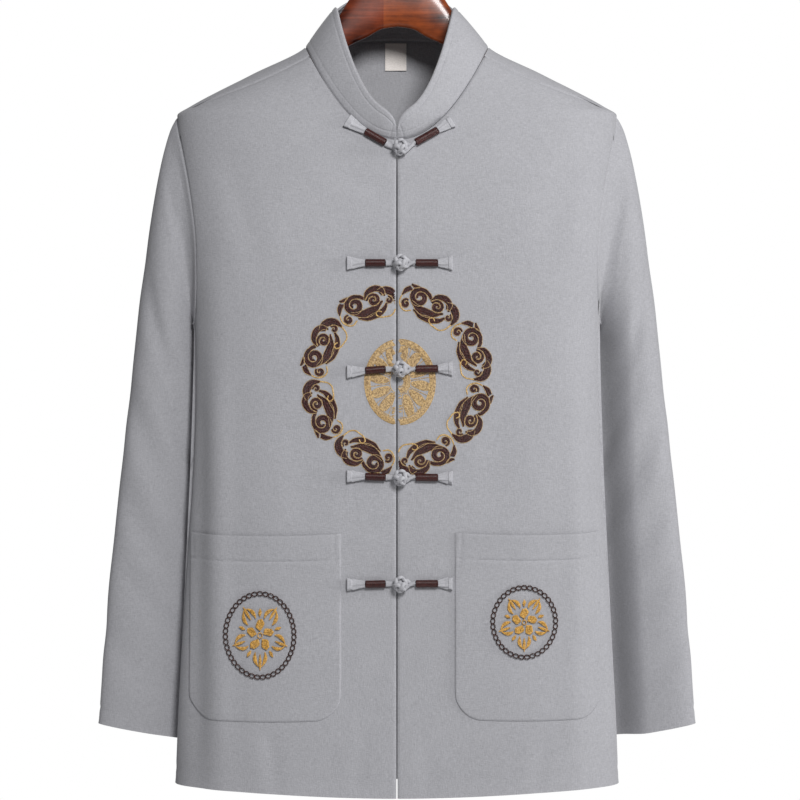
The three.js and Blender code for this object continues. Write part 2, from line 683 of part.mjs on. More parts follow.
// The wire hook: round over the rail, then in to a straight stem above the hanger.
function hook() {
  const { wire, bend, tip, turnIn, stemTop } = HOOK;
  const [arcSteps, stemSteps, sections, sides] = [16, 2, 40, 8];
  const centreDrop = bend - wire / 2;
  const arc = steps(tip, turnIn, arcSteps).map((turn) => (
    new THREE.Vector2(bend * Math.cos(turn), -centreDrop + bend * Math.sin(turn))));
  const foot = HANGER[0].top - LAY_GAP;
  const stem = steps(stemTop, foot, stemSteps).map((drop) => new THREE.Vector2(0, -drop));
  const path = new THREE.SplineCurve([...arc, ...stem]);
  const rings = steps(0, 1, sections).map((share) => {
    const at = path.getPoint(share);
    const along = path.getTangent(share);
    const centre = new THREE.Vector3(at.x, 0, at.y);
    const sideways = new THREE.Vector3(along.y, 0, -along.x).multiplyScalar(wire / 2);
    return ring(centre, sideways, new THREE.Vector3(0, wire / 2, 0), sides);
  });
  return mesh('hook', loft(rings), METAL_COLOUR, 0.25, 1);
}

const shirt = new THREE.Group();
shirt.name = 'tai_chi_shirt_on_a_hanger';
shirt.add(front('front_left', -1), front('front_right', 1), back());
shirt.add(sleeve('sleeve_left', -1), sleeve('sleeve_right', 1), collar());
POCKETS.forEach((place) => shirt.add(pocket(place)));
FROG_DROPS.forEach((drop, i) => shirt.add(...frog(i + 1, drop)));
shirt.add(label());
shirt.add(hangerHalf('hanger_left', HANGER_JOINT - LAY_GAP / 2, -HANGER.at(-1).reach));
shirt.add(hangerHalf('hanger_right', HANGER_JOINT + LAY_GAP / 2, HANGER.at(-1).reach), hook());

export default shirt;
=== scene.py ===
"""Tai chi shirt on a wooden hanger: the looks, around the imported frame.

Sizes are in millimetres in the tables and shapes, and become metres where a mesh is made.
x is to the right, drop is the height below the hook's seat, and the front faces -Y.
"""

import math

import bpy
import numpy as np
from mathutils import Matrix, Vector


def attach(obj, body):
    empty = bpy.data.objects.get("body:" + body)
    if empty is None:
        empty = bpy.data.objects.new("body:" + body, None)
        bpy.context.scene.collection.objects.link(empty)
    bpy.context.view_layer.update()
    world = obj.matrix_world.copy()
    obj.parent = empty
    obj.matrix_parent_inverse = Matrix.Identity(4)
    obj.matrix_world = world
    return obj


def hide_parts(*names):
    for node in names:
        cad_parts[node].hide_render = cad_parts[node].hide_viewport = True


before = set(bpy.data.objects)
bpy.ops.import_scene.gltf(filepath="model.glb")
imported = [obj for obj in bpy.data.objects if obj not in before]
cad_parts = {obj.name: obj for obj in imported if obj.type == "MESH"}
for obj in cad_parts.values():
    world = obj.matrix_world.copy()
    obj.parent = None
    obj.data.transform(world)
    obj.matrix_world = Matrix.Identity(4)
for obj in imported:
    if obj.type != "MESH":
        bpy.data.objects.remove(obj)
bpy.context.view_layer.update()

METRES = 0.001
TURN = 2 * math.pi
rng = np.random.default_rng(8)


# Tables and curves


def gentler(a, b):
    """A slope between two others that never overshoots."""
    total = np.where(a + b == 0, 1, a + b)
    return np.where(a * b <= 0, 0, 2 * a * b / total)


class Table:
    """Rows of named columns, read on a smooth curve through the rows."""

    def __init__(self, names, rows):
        self.columns = dict(zip(names.split(), np.array(rows, float).T))
        self.key = names.split()[0]

    def read(self, at, name):
        return curve(self.columns[self.key], self.columns[name], at)


def curve(x, y, at):
    """y at some values of x, y being one column or a stack of points."""
    at = np.asarray(at, float)
    wide = (...,) + (None,) * (y.ndim - 1)
    slope = np.diff(y, axis=0) / np.diff(x)[wide]
    slopes = np.concatenate([slope[:1], gentler(slope[:-1], slope[1:]), slope[-1:]])
    i = np.clip(np.searchsorted(x, at) - 1, 0, len(x) - 2)
    step = (x[i + 1] - x[i])[wide]
    t = np.clip((at[wide] - x[i][wide]) / step, 0, 1)
    cubic = y[i] * (1 + 2 * t) * (1 - t) ** 2 + y[i + 1] * t * t * (3 - 2 * t)
    return cubic + step * t * (1 - t) * (slopes[i] * (1 - t) - slopes[i + 1] * t)


def mix(a, b, t):
    return a + (b - a) * t


def smooth(low, high, value):
    t = np.clip((value - low) / (high - low), 0, 1)
    return t * t * (3 - 2 * t)


def unit(v):
    return v / np.maximum(np.linalg.norm(v, axis=-1, keepdims=True), 1e-9)


def points(x, y, z):
    return np.stack(np.broadcast_arrays(x, y, z), axis=-1).astype(float)


def flat_points(x, y):
    return np.stack(np.broadcast_arrays(x, y), axis=-1)


def circle(count):
    """Evenly spaced angles all the way round."""
    return np.linspace(0, TURN, count, endpoint=False)


def shares(count):
    return np.linspace(0, 1, count)


def run_along(line):
    """The length of a line up to each of its points."""
    return np.concatenate([[0], np.cumsum(np.linalg.norm(np.diff(line, axis=0), axis=1))])


# The garment's sizes, the same as the solids'

BODY = Table("drop half side front back square", [
    (143, 76, 0, -32, 58, 2.4),
    (163, 92, 0, -38, 59, 2.4),
    (190, 145, 0, -46, 59, 2.6),
    (223, 208, -1, -53.5, 58, 3.1),
    (231, 219.5, -1, -55.5, 58, 3.2),
    (265, 217, -7, -61, 57, 3.8),
    (315, 212, -16, -65, 56, 4.4),
    (365, 206, -22, -68, 55, 5),
    (440, 201, -24, -69, 54, 5),
    (560, 204, -22, -68, 54, 5),
    (700, 211, -17, -66, 55, 5),
    (820, 217.5, -13, -65, 57, 5),
    (913, 221, -10, -65, 58, 5),
])
BACK_SQUARE = 2.2
HEM_SIDE, HEM_DIP, HEM_BEND = 895, 8, 4
HEM_DEPTH = 16
FRONT_OPENING = 1.2
CLOTH = 1.0
NECK_HALF, NECK_SIDE, NECK_FALL, NECK_RISE = 92, 163, 98, 16
NECK_FRONT_BEND, NECK_BACK_BEND = 2.05, 2.2
COLLAR_CENTRE, COLLAR_HALF, COLLAR_SIDE, COLLAR_FALL, COLLAR_RISE = -2, 59.5, 124, 110, 17
COLLAR_FRONT_BEND, COLLAR_BACK_BEND = 2.3, 6
COLLAR_FRONT_Y, COLLAR_SIDE_Y, COLLAR_BACK_Y = -68, 1, 50
COLLAR_FRONT_BOW, COLLAR_CORNER, COLLAR_THICK, COLLAR_BULGE = 0.5, 15, 2.0, 0.8
COLLAR_STITCHES, FOOT_STITCHES = 6, 7.5
ARM_TOP, ARM_PIT, ARM_FRONT, ARM_BACK, ARM_BEND = 232, 440, 0.29, 0.42, 1.5
SEAM_AT = math.pi / 14
SEAM_NECK_AT, SEAM_BEND = 1.222, 2.2

SLEEVE = Table("row outX outY outDrop inX inY inDrop front back", [
    (1, 226, 0, 244, 202, -12, 443, 26, 34),
    (2, 233, -2, 268, 202, 0, 449, 31, 38),
    (3, 239, -4, 297, 200, 10, 459, 34, 40),
    (4, 246, -6, 339, 196, 18, 475, 35, 41),
    (5, 253, -8, 389, 193, 24, 500, 34, 40),
    (6, 259, -9, 445, 187, 29, 535, 31, 38),
    (7, 266, -10, 510, 181, 33, 582, 28, 35),
    (8, 273, -10, 575, 177, 36, 637, 26, 32),
    (9, 280, -10, 640, 174, 38, 694, 24, 29),
    (10, 287, -10, 705, 173, 38, 752, 22, 26),
    (11, 292, -10, 770, 175, 37, 810, 20, 23),
    (12, 297, -9, 837, 178, 35, 862, 18, 20),
])
SLEEVE_CLEARANCE = 3
# How far the inner edge of each sleeve falls back behind the side of the body.
SLEEVE_FALLBACK = {"left": 3, "right": 25}

POCKETS = {"left": (-54.5, -206, 645, 826), "right": (56.5, 202, 644, 825)}
POCKET_CORNER = 26
POCKET_SAG = 2.5
POCKET_RISE, POCKET_CLOTH, POCKET_FACING, POCKET_TACK = 1.6, 0.9, 25, 6.5

FROG_DROPS = [270, 382, 485, 590, 693.5]
FROG_SLOPES = [0, 0, -0.045, 0.02, -0.015]
FROG_CENTRE, KNOT = 3.3, 16
KNOT_CORD, KNOT_CORE, KNOT_REACH, KNOT_WAVE = 1.75, 4.5, 6.2, 0.9
WRAP_HIGH, WRAP_DEEP, WRAP_RIB = 7.4, 6, 0.035
STRAP_HIGH, STRAP_DEEP, STRAP_FOLD = (13.8, 6.2), (4.2, 4.6), 1.2
FROG_LEFT = {"end": -49, "wrap": -31, "neck": -11}
FROG_RIGHT = {"neck": 18, "wrap": 40, "end": 54}
FROG_RISE = Table("reach rise", [(0, 0), (8, 1.5), (16, 6), (36, 17.5), (53, 28)])

HANGER = Table("reach top bottom half", [
    (0, 78, 142, 7),
    (14, 80, 144, 7),
    (30, 91, 152.5, 7),
    (40, 103, 157, 7),
    (50, 118, 162.5, 7),
    (62, 137, 170, 7),
    (78, 156, 179, 8),
    (96, 169.5, 189, 9.5),
    (120, 181.5, 202, 12),
    (150, 198, 219.5, 15),
    (180, 215, 236, 18),
    (196, 225, 244, 15.5),
    (203, 231, 242, 11),
])
HANGER_JOINT, HANGER_GAP, HANGER_END, HANGER_ROUND = -13.4, 0.02, 203, 0.78
HOOK_WIRE, HOOK_BEND, HOOK_TIP, HOOK_TURN_IN, HOOK_STEM = 4, 21, 3.5, -0.9, 56

# The lines that sewing presses into the cloth: their width and their depth.
PRESSED = {
    "armhole": (1.6, 0.8), "shoulder": (1.8, 1.0), "back": (1.8, 1.1), "sleeve": (1.8, 0.9),
    "opening": (1.0, 0.8), "neck": (1.0, 1.1), "hem": (0.9, 0.6), "hem edge": (3, -0.35),
    "collar edge": (0.8, 0.6), "collar stitches": (0.7, 0.5),
    "collar foot": (1.4, 1.1), "foot stitches": (0.7, 0.35),
    "pocket edge": (0.9, 0.8), "pocket mouth": (0.8, 0.4),
    "pocket facing": (0.8, 0.8), "pocket tack": (0.8, 0.7),
}


# The body's surface


def body(angle, drop):
    """Points of the body at angles round it, 0 at the centre front, pi at the centre back."""
    sine = np.sin(angle)
    front = np.cos(angle) >= 0
    side = BODY.read(drop, "side")
    square = np.where(front, BODY.read(drop, "square"), BACK_SQUARE)
    centre = np.where(front, BODY.read(drop, "front"), BODY.read(drop, "back"))
    bow = np.sqrt(np.maximum(0, 1 - np.abs(sine) ** square))
    return points(BODY.read(drop, "half") * sine, side + (centre - side) * bow, -drop)


def body_normal(angle, drop):
    """The way out of the body at its points."""
    turn_step, drop_step = 0.004, 1.0
    across = body(angle + turn_step, drop) - body(angle - turn_step, drop)
    down = body(angle, drop + drop_step) - body(angle, drop - drop_step)
    return unit(np.cross(down, across))


def angle_at(x, drop, behind=False):
    """The angle round the body at a place across its front, or its back."""
    sine = np.clip(x / BODY.read(drop, "half"), -1, 1)
    angle = np.arcsin(sine)
    return np.where(x < 0, -1, 1) * math.pi - angle if behind else angle


# Soft troughs in the cloth: the place of the middle, the length and the width, the
# direction in degrees from level, and the depth.
FRONT_TROUGHS = [
    (-76, 196, 34, 4.0, -62, 0.7), (-66, 206, 26, 3.5, -48, 0.6), (-84, 188, 22, 3.0, -75, 0.5),
    (78, 200, 30, 4.0, 60, 0.5), (-40, 300, 60, 9, 24, 0.5), (44, 306, 66, 10, -22, 0.5),
    (-150, 330, 120, 14, 74, 0.9), (156, 322, 110, 14, -76, 0.8), (-176, 470, 90, 12, 88, 0.8),
    (178, 500, 130, 13, 92, 0.8), (-90, 590, 90, 16, 80, 0.5), (96, 575, 90, 16, 97, 0.5),
    (-30, 432, 36, 6, 18, 0.4), (34, 540, 40, 6, -16, 0.4), (-32, 642, 38, 6, 14, 0.4),
    (30, 745, 36, 6, -18, 0.4), (-120, 868, 60, 9, 82, 0.7), (140, 872, 54, 9, 97, 0.7),
    (30, 872, 50, 8, 86, 0.5), (-36, 866, 60, 8, 95, 0.5), (186, 884, 20, 3, 112, 0.8),
    (-197, 660, 470, 13, -90, 5), (198, 650, 440, 13, 90, 3.5),
]
BACK_TROUGHS = [
    (-70, 230, 90, 12, 40, 0.9), (76, 236, 90, 12, -40, 0.9), (0, 250, 80, 14, 4, 0.6),
    (-150, 340, 150, 14, 76, 1.1), (152, 332, 150, 14, -76, 1.1), (-60, 520, 260, 22, 86, 1.0),
    (70, 560, 280, 22, 95, 1.0), (-130, 760, 200, 16, 92, 1.0), (134, 770, 190, 16, 87, 1.0),
    (8, 790, 180, 18, 90, 0.8),
]


def troughs(x, drop, rows):
    """How far the cloth lies below its smooth form at places on it."""
    deep = np.zeros(np.broadcast(x, drop).shape)
    for cx, cdrop, length, width, turn, depth in rows:
        c, s = math.cos(math.radians(turn)), math.sin(math.radians(turn))
        along = (x - cx) * c + (drop - cdrop) * s
        across = -(x - cx) * s + (drop - cdrop) * c
        deep += depth * np.exp(-(along / (length * 0.5)) ** 4 - (across / width) ** 2)
        deep -= 0.6 * depth * np.exp(-(along / (length * 0.5)) ** 4 - (across / width - 1.7) ** 2)
    return deep


def skin(angle, drop):
    """The cloth's outer face with its soft troughs, fewer on the shoulders, and its normals."""
    place, normal = body(angle, drop), body_normal(angle, drop)
    x, behind = place[..., 0], np.cos(angle) < 0
    deep = np.where(behind, troughs(x, drop, BACK_TROUGHS), troughs(x, drop, FRONT_TROUGHS))
    still = smooth(235, 262, drop) + 0.6 * (1 - smooth(205, 235, drop))
    return place - normal * (deep * still)[..., None], normal


def on_front(x, drop):
    x, drop = np.broadcast_arrays(np.asarray(x, float), np.asarray(drop, float))
    return skin(angle_at(x, drop), drop)


# Lines on the body, as angles and drops on the right side


def neckline(turn):
    sine = np.sin(turn)
    behind = np.asarray(turn) > math.pi / 2
    drop = np.where(
        behind,
        NECK_SIDE - NECK_RISE * (1 - np.abs(sine) ** NECK_BACK_BEND),
        NECK_SIDE + NECK_FALL * (1 - np.abs(sine) ** NECK_FRONT_BEND),
    )
    x = NECK_HALF * sine
    return np.where(behind, angle_at(x, drop, True), angle_at(x, drop)), drop


def armhole(turn):
    drop = mix(ARM_TOP, ARM_PIT, (1 - np.cos(turn)) / 2)
    sine = np.sin(turn)
    bow = np.abs(sine) ** ARM_BEND * np.sign(sine)
    return math.pi / 2 - np.where(bow > 0, ARM_FRONT, ARM_BACK) * bow, drop


def hem_at(angle):
    return HEM_SIDE + HEM_DIP * np.cos(angle) ** HEM_BEND


def shoulder_seam(share):
    from_angle, from_drop = neckline(SEAM_NECK_AT)
    to_angle, to_drop = armhole(SEAM_AT)
    return mix(from_angle, to_angle, share**SEAM_BEND), mix(from_drop, to_drop, share)


# Meshes


def grid_faces(rows, columns, start=0, closed=False):
    """The faces of a grid of points. A closed grid's last column meets its first."""
    i, j = np.meshgrid(np.arange(rows - 1), np.arange(columns - (not closed)), indexing="ij")
    a = i * columns + j
    b = i * columns + (j + 1) % columns
    return np.stack([a, b, b + columns, a + columns], axis=-1).reshape(-1, 4) + start


def placed(name, data):
    thing = bpy.data.objects.new(name, data)
    bpy.context.scene.collection.objects.link(thing)
    return thing


def make(name, verts, faces, material, slot, node=None, crease=50):
    """A mesh that rides on the body and stands for its node, if it has one."""
    mesh = bpy.data.meshes.new(name)
    mesh.from_pydata((np.asarray(verts) * METRES).tolist(), [], [list(map(int, f)) for f in faces])
    mesh.validate()
    mesh.shade_smooth()
    mesh.set_sharp_from_angle(angle=math.radians(crease))
    mesh.materials.append(material)
    piece = placed(name, mesh)
    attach(piece, "root")
    if node:
        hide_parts(node)
    return piece


def outward(verts, faces):
    """Faces in the order that points them out of a closed form."""
    a, b, c, d = (verts[faces[:, k]] for k in range(4))
    volume = np.einsum("ij,ij->i", a, np.cross(b, c)).sum()
    volume += np.einsum("ij,ij->i", a, np.cross(c, d)).sum()
    return faces if volume > 0 else faces[:, ::-1]


def shell(outer, inner, closed=False):
    """A closed wall between two grids of points."""
    rows, columns = outer.shape[:2]
    count = rows * columns
    verts = np.concatenate([outer.reshape(-1, 3), inner.reshape(-1, 3)])
    faces = [grid_faces(rows, columns, 0, closed), grid_faces(rows, columns, count, closed)[:, ::-1]]
    index = np.arange(count).reshape(rows, columns)
    rims = [index[0], index[-1, ::-1]]
    if not closed:
        rims = [np.concatenate([index[0, :-1], index[:-1, -1], index[-1, :0:-1], index[:0:-1, 0]])]
    for rim in rims:
        after = np.roll(rim, -1)
        faces.append(np.stack([after, rim, rim + count, after + count], axis=-1))
    return verts, outward(verts, np.concatenate(faces))


def loft(rings):
    """A closed form through rings of points, with a fan of triangles over each end."""
    rows, columns = rings.shape[:2]
    count = rows * columns
    verts = np.concatenate([rings.reshape(-1, 3), rings[0].mean(0)[None], rings[-1].mean(0)[None]])
    quads = grid_faces(rows, columns, 0, True)
    j = np.arange(columns)
    k = (j + 1) % columns
    last = (rows - 1) * columns
    first_hub, last_hub = np.full_like(j, count), np.full_like(j, count + 1)
    first_cap = np.stack([k, j, first_hub, first_hub], axis=-1)
    last_cap = np.stack([j + last, k + last, last_hub, last_hub], axis=-1)
    faces = outward(verts, np.concatenate([quads, first_cap, last_cap]))
    # A fan's faces name their hub twice, and here they become triangles.
    return verts, [f[np.sort(np.unique(f, return_index=True)[1])] for f in faces]


def grid_normals(grid, closed=False):
    """Normals of a grid of points from its neighbours."""
    down = np.gradient(grid, axis=0)
    if closed:
        across = np.roll(grid, -1, axis=1) - np.roll(grid, 1, axis=1)
    else:
        across = np.gradient(grid, axis=1)
    return unit(np.cross(down, across))


def edge_distance(grid, axis, end):
    """How far each point lies from one edge of a grid, along the grid's lines."""
    lengths = np.linalg.norm(np.diff(grid, axis=axis), axis=-1)
    zero = np.zeros_like(np.take(lengths, [0], axis=axis))
    run = np.concatenate([zero, np.cumsum(lengths, axis=axis)], axis=axis)
    return np.take(run, [-1], axis=axis) - run if end else run


def edges(grid):
    """How far each point lies from the first and last row and the first and last column."""
    return [edge_distance(grid, axis, end) for axis in (0, 1) for end in (False, True)]


def pressed(distance, kind):
    """The relief of a sewn line at some distances from it."""
    width, depth = PRESSED[kind]
    return -depth * np.exp(-((distance / width) ** 2))


def hemmed(distance):
    """A hem's row of stitches and its thicker edge."""
    return pressed(distance - HEM_DEPTH, "hem") + pressed(distance, "hem edge")


def crowded(n, first, last):
    """Numbers from 0 to 1, with two more close to each end."""
    return np.sort(np.concatenate([shares(n), [first, first * 2.2, 1 - last, 1 - last * 2.2]]))


# Materials


class Paint:
    """A material's nodes, added one after another."""

    def __init__(self, name):
        self.material = bpy.data.materials.new(name)
        self.material.use_nodes = True
        self.tree = self.material.node_tree
        self.shader = self.tree.nodes["Principled BSDF"]
        self.place = self.add("ShaderNodeTexCoord").outputs["Object"]

    def add(self, kind, **values):
        node = self.tree.nodes.new(kind)
        for key, value in values.items():
            setattr(node, key, value)
        return node

    def link(self, source, target):
        self.tree.links.new(source, target)

    def set(self, **values):
        for key, value in values.items():
            self.shader.inputs[key.replace("_", " ")].default_value = value

    def stretched(self, scale, turn):
        mapping = self.add("ShaderNodeMapping")
        mapping.inputs["Scale"].default_value = scale
        mapping.inputs["Rotation"].default_value = turn
        self.link(self.place, mapping.inputs["Vector"])
        return mapping.outputs["Vector"]

    def grain(self, scale, detail, rough=0.5, turn=(0, 0, 0)):
        """A noise drawn out along an axis."""
        return self.noise(self.stretched(scale, turn), 1.0, detail, rough)

    def noise(self, vector, scale, detail=2.0, rough=0.5):
        node = self.add("ShaderNodeTexNoise")
        node.inputs["Scale"].default_value = scale
        node.inputs["Detail"].default_value = detail
        node.inputs["Roughness"].default_value = rough
        self.link(vector, node.inputs["Vector"])
        return node.outputs["Fac"]

    def math(self, kind, *values):
        node = self.add("ShaderNodeMath", operation=kind)
        for socket, value in zip(node.inputs, values):
            if isinstance(value, (int, float)):
                socket.default_value = value
            else:
                self.link(value, socket)
        return node.outputs[0]

    def blend(self, *parts, total=0.0):
        """Sources added up, each by its share."""
        for source, share in parts:
            total = self.math("MULTIPLY_ADD", source, share, total)
        return total

    def ramp(self, factor, *stops):
        node = self.add("ShaderNodeValToRGB")
        while len(node.color_ramp.elements) < len(stops):
            node.color_ramp.elements.new(0.5)
        for element, (position, colour) in zip(node.color_ramp.elements, stops):
            element.position = position
            element.color = (*colour, 1)
        self.link(factor, node.inputs["Fac"])
        return node.outputs["Color"]

    def colour(self, source):
        self.link(source, self.shader.inputs["Base Color"])

    def bump(self, height, strength, distance):
        node = self.add("ShaderNodeBump")
        node.inputs["Strength"].default_value = strength
        node.inputs["Distance"].default_value = distance
        self.link(height, node.inputs["Height"])
        self.link(node.outputs["Normal"], self.shader.inputs["Normal"])


def cloth_material(name, level, tint=(0.975, 0.972, 1.03)):
    """A fine plain weave: level and upright threads with slubs, and a little mottling."""
    paint = Paint(name)
    level_threads = paint.grain((260, 260, 1500), 2)
    upright_threads = paint.grain((1500, 900, 260), 2)
    weave = paint.math("ADD", level_threads, upright_threads)
    speckle = paint.noise(paint.place, 900, 3, 0.6)
    mottle = paint.noise(paint.place, 26, 3)
    mixed = paint.blend((weave, 0.36), (speckle, 0.2), (mottle, 0.08))
    low, high = (tuple(level * share * t for t in tint) for share in (0.8, 1.2))
    paint.colour(paint.ramp(mixed, (0.32, low), (0.68, high)))
    paint.set(Roughness=0.82, Sheen_Weight=0.22, Sheen_Roughness=0.45, Specular_IOR_Level=0.25)
    paint.bump(weave, 0.5, 0.0004)
    return paint.material


def ribbed_material(name, scale, stops, bump, detail=2, turn=(0, 0, 0), **values):
    """A surface with fine ribs or streaks that also change its colour."""
    paint = Paint(name)
    ribs = paint.grain(scale, detail, turn=turn)
    paint.colour(paint.ramp(ribs, *stops))
    paint.set(**values)
    paint.bump(ribs, *bump)
    return paint.material


def wood_material(name, dark, light):
    """Varnished red-brown hardwood, its grain along the arm, with dark streaks and a few knots."""
    paint = Paint(name)
    warp = paint.grain((14, 30, 34), 4, 0.6)
    grain = paint.grain((11, 150, 260), 6, 0.68)
    pores = paint.grain((70, 900, 1500), 2)
    clouds = paint.grain((46, 60, 70), 3, 0.7)
    knots = paint.add("ShaderNodeTexVoronoi")
    knots.inputs["Scale"].default_value = 1.0
    paint.link(paint.stretched((22, 40, 34), (0, 0, 0)), knots.inputs["Vector"])
    eye = paint.math("SMOOTH_MIN", knots.outputs["Distance"], 0.3)
    mixed = paint.blend((grain, 0.42), (warp, 0.26), (clouds, 0.3), (eye, 0.9), total=-0.2)
    middle = tuple(mix(p, q, 0.45) for p, q in zip(dark, light))
    paint.colour(paint.ramp(mixed, (0.34, dark), (0.5, middle), (0.66, light)))
    paint.set(Roughness=0.3, Coat_Weight=0.25, Coat_Roughness=0.12, Specular_IOR_Level=0.4)
    paint.bump(paint.blend((pores, 0.5), total=grain), 0.2, 0.0003)
    return paint.material


def thread_material(name, dark, light):
    """Shiny embroidery thread, its colour changing from stitch to stitch."""
    paint = Paint(name)
    mottle = paint.noise(paint.place, 700, 2, 0.6)
    paint.colour(paint.ramp(mottle, (0.36, dark), (0.62, light)))
    paint.set(Roughness=0.45, Specular_IOR_Level=0.35)
    paint.bump(paint.noise(paint.place, 1800, 2), 0.4, 0.0002)
    return paint.material


CLOTH_GREY = cloth_material("grey weave", 0.39)
KNOT_GREY = cloth_material("grey cord", 0.46)
WRAP_BROWN = ribbed_material(
    "brown satin", (1400, 700, 1400), [(0.35, (0.012, 0.002, 0.002)), (0.7, (0.085, 0.016, 0.013))],
    (0.5, 0.0003), turn=(0, 0.5, 0), Roughness=0.36, Specular_IOR_Level=0.5)
# One wood in two tones: the left half's copy is painted darker as shade, the right half's lighter as
# painted light, for light falling from the right.
WOOD_SHADED_LEFT = wood_material("red wood painted shade", (0.018, 0.002, 0.001), (0.26, 0.045, 0.012))
WOOD_LIT_RIGHT = wood_material("red wood painted light", (0.03, 0.004, 0.002), (0.38, 0.08, 0.018))
THREAD_BROWN = thread_material("brown thread", (0.012, 0.003, 0.003), (0.07, 0.019, 0.016))
THREAD_DARK = thread_material("dark thread", (0.01, 0.003, 0.002), (0.06, 0.02, 0.014))
THREAD_GOLD = thread_material("gold thread", (0.34, 0.2, 0.06), (0.74, 0.5, 0.2))
THREAD_PALE_GOLD = thread_material("pale gold thread", (0.28, 0.18, 0.09), (0.64, 0.45, 0.22))
THREAD_ORANGE = thread_material("orange gold thread", (0.34, 0.17, 0.03), (0.74, 0.43, 0.1))
METAL = ribbed_material(
    "polished wire", (400, 400, 60), [(0.3, (0.62, 0.62, 0.64)), (0.7, (0.78, 0.78, 0.8))],
    (0.08, 0.0001), 3, Metallic=1.0, Roughness=0.22)
CREAM = ribbed_material(
    "cream tape", (500, 500, 1800), [(0.3, (0.76, 0.7, 0.66)), (0.7, (0.92, 0.87, 0.83))],
    (0.4, 0.0003), Roughness=0.6, Sheen_Weight=0.2)


# Fronts and back


def cloth(node, grid, normal, relief, thick=CLOTH, closed=False):
    """A sheet of cloth on its node's form: a thin wall, with the relief on its outer face."""
    outer = grid + normal * relief[..., None]
    verts, faces = shell(outer, outer - normal * thick, closed)
    piece = make(f"{node}_cloth", verts, faces, CLOTH_GREY, "cloth", node)


def front(side, flip):
    """One front: straight below the armpit, then between the neckline and the armhole."""
    # How many rows lie below the armpit, up to the neck and along it, and how many columns.
    below, to_neck, along_neck, columns = 90, 36, 54, 78
    share = crowded(columns, 0.004, 0.003)
    rows_in = shares(below)
    neck_drop = float(neckline(0.0)[1])
    turn = np.linspace(0, SEAM_NECK_AT, along_neck + 1)[1:]
    neck_angle, neck_at = neckline(turn)
    from_angle = np.concatenate([np.full(below + to_neck, 0.002), neck_angle])
    from_drop = np.concatenate([
        mix(hem_at(0), ARM_PIT, rows_in), np.linspace(ARM_PIT, neck_drop, to_neck + 1)[1:], neck_at])
    arm_angle, arm_drop = armhole(np.linspace(math.pi, SEAM_AT, to_neck + along_neck + 1)[1:])
    to_angle = np.concatenate([np.full(below, math.pi / 2), arm_angle])
    to_drop = np.concatenate([mix(HEM_SIDE, ARM_PIT, rows_in), arm_drop])
    i = np.arange(len(from_angle))[:, None]
    count = len(from_angle)
    pull = smooth(count - 34, count - 1, i)
    top_angle, top_drop = shoulder_seam(share)
    angle = mix(from_angle[:, None], to_angle[:, None], share)
    dip = np.maximum(0, 1 - i / below) * (hem_at(angle) - mix(hem_at(0), HEM_SIDE, share))
    angle = angle + pull * (top_angle - mix(from_angle[-1], to_angle[-1], share))
    drop = mix(from_drop[:, None], to_drop[:, None], share) + dip
    drop = drop + pull * (top_drop - mix(from_drop[-1], to_drop[-1], share))
    grid, normal = skin(flip * angle, drop)
    opening = (i < below + to_neck)[:, 0]
    grid[opening, 0, 0] = flip * FRONT_OPENING / 2
    hem, top, middle, arm = edges(grid)
    relief = pressed(arm, "armhole") + hemmed(hem) + pressed(top, "shoulder")
    relief += np.where(opening[:, None], pressed(middle, "opening"), pressed(middle, "neck"))
    cloth(f"front_{side}", grid, normal, relief)


def back():
    """The back, from side seam to side seam, its top over the shoulders."""
    below, beside, to_seam, along_seam = 72, 80, 56, 30
    arm_angle, arm_drop = armhole(np.linspace(-math.pi, SEAM_AT, beside + 1)[1:])
    edge_angle = np.concatenate([np.full(below + 1, math.pi / 2), arm_angle])
    edge_drop = np.concatenate([np.linspace(HEM_SIDE, ARM_PIT, below + 1), arm_drop])
    neck_angle, neck_drop = neckline(np.linspace(math.pi, SEAM_NECK_AT, to_seam + 1))
    seam_angle, seam_drop = shoulder_seam(shares(along_seam + 1)[1:])
    top_angle = np.concatenate([neck_angle, seam_angle])
    top_drop = np.concatenate([neck_drop, seam_drop])
    rise = shares(len(edge_drop))[:, None]
    across = shares(len(top_drop))[None]
    hem_angle = mix(math.pi, math.pi / 2, across)
    angle = mix(hem_angle, top_angle, rise)
    angle = angle + across * (edge_angle[:, None] - mix(math.pi / 2, top_angle[-1], rise))
    drop = mix(hem_at(hem_angle), top_drop, rise)
    drop = drop + across * (edge_drop[:, None] - mix(HEM_SIDE, top_drop[-1], rise))
    middle = mix(edge_drop[:, None], top_drop[0], rise**3)
    drop = drop + (1 - across) * (middle - mix(HEM_SIDE, top_drop[0], rise))
    angle = np.concatenate([-angle[:, :0:-1], angle], axis=1)
    drop = np.concatenate([drop[:, :0:-1], drop], axis=1)
    grid, normal = skin(angle, drop)
    x = np.abs(np.linspace(-1, 1, grid.shape[1]))[None]
    hem, top, left, right = edges(grid)
    on_seam = (x > to_seam / (to_seam + along_seam)).astype(float)
    relief = pressed(np.minimum(left, right), "back") + on_seam * pressed(top, "shoulder") + hemmed(hem)
    cloth("back", grid, normal, relief)


# Sleeves

# Soft troughs round the sleeve: how far down it, at what angle round it, how far they
# reach round it, their width as a share of its length, and their depth.
SLEEVE_TROUGHS = [
    (0.30, 0.9, 0.16, 0.05, 3.0), (0.42, 1.5, 0.2, 0.035, 2.2), (0.5, 0.7, 0.22, 0.04, 2.0),
    (0.58, 1.7, 0.2, 0.03, 1.6), (0.66, 1.0, 0.2, 0.035, 1.8), (0.78, 1.4, 0.24, 0.03, 1.5),
    (0.88, 0.8, 0.2, 0.03, 1.2), (0.36, 4.0, 0.3, 0.04, 2.4), (0.5, 4.8, 0.3, 0.04, 2.2),
    (0.64, 4.3, 0.3, 0.035, 2.0), (0.8, 4.9, 0.3, 0.03, 1.4), (0.2, 5.0, 0.25, 0.04, 2.0),
]


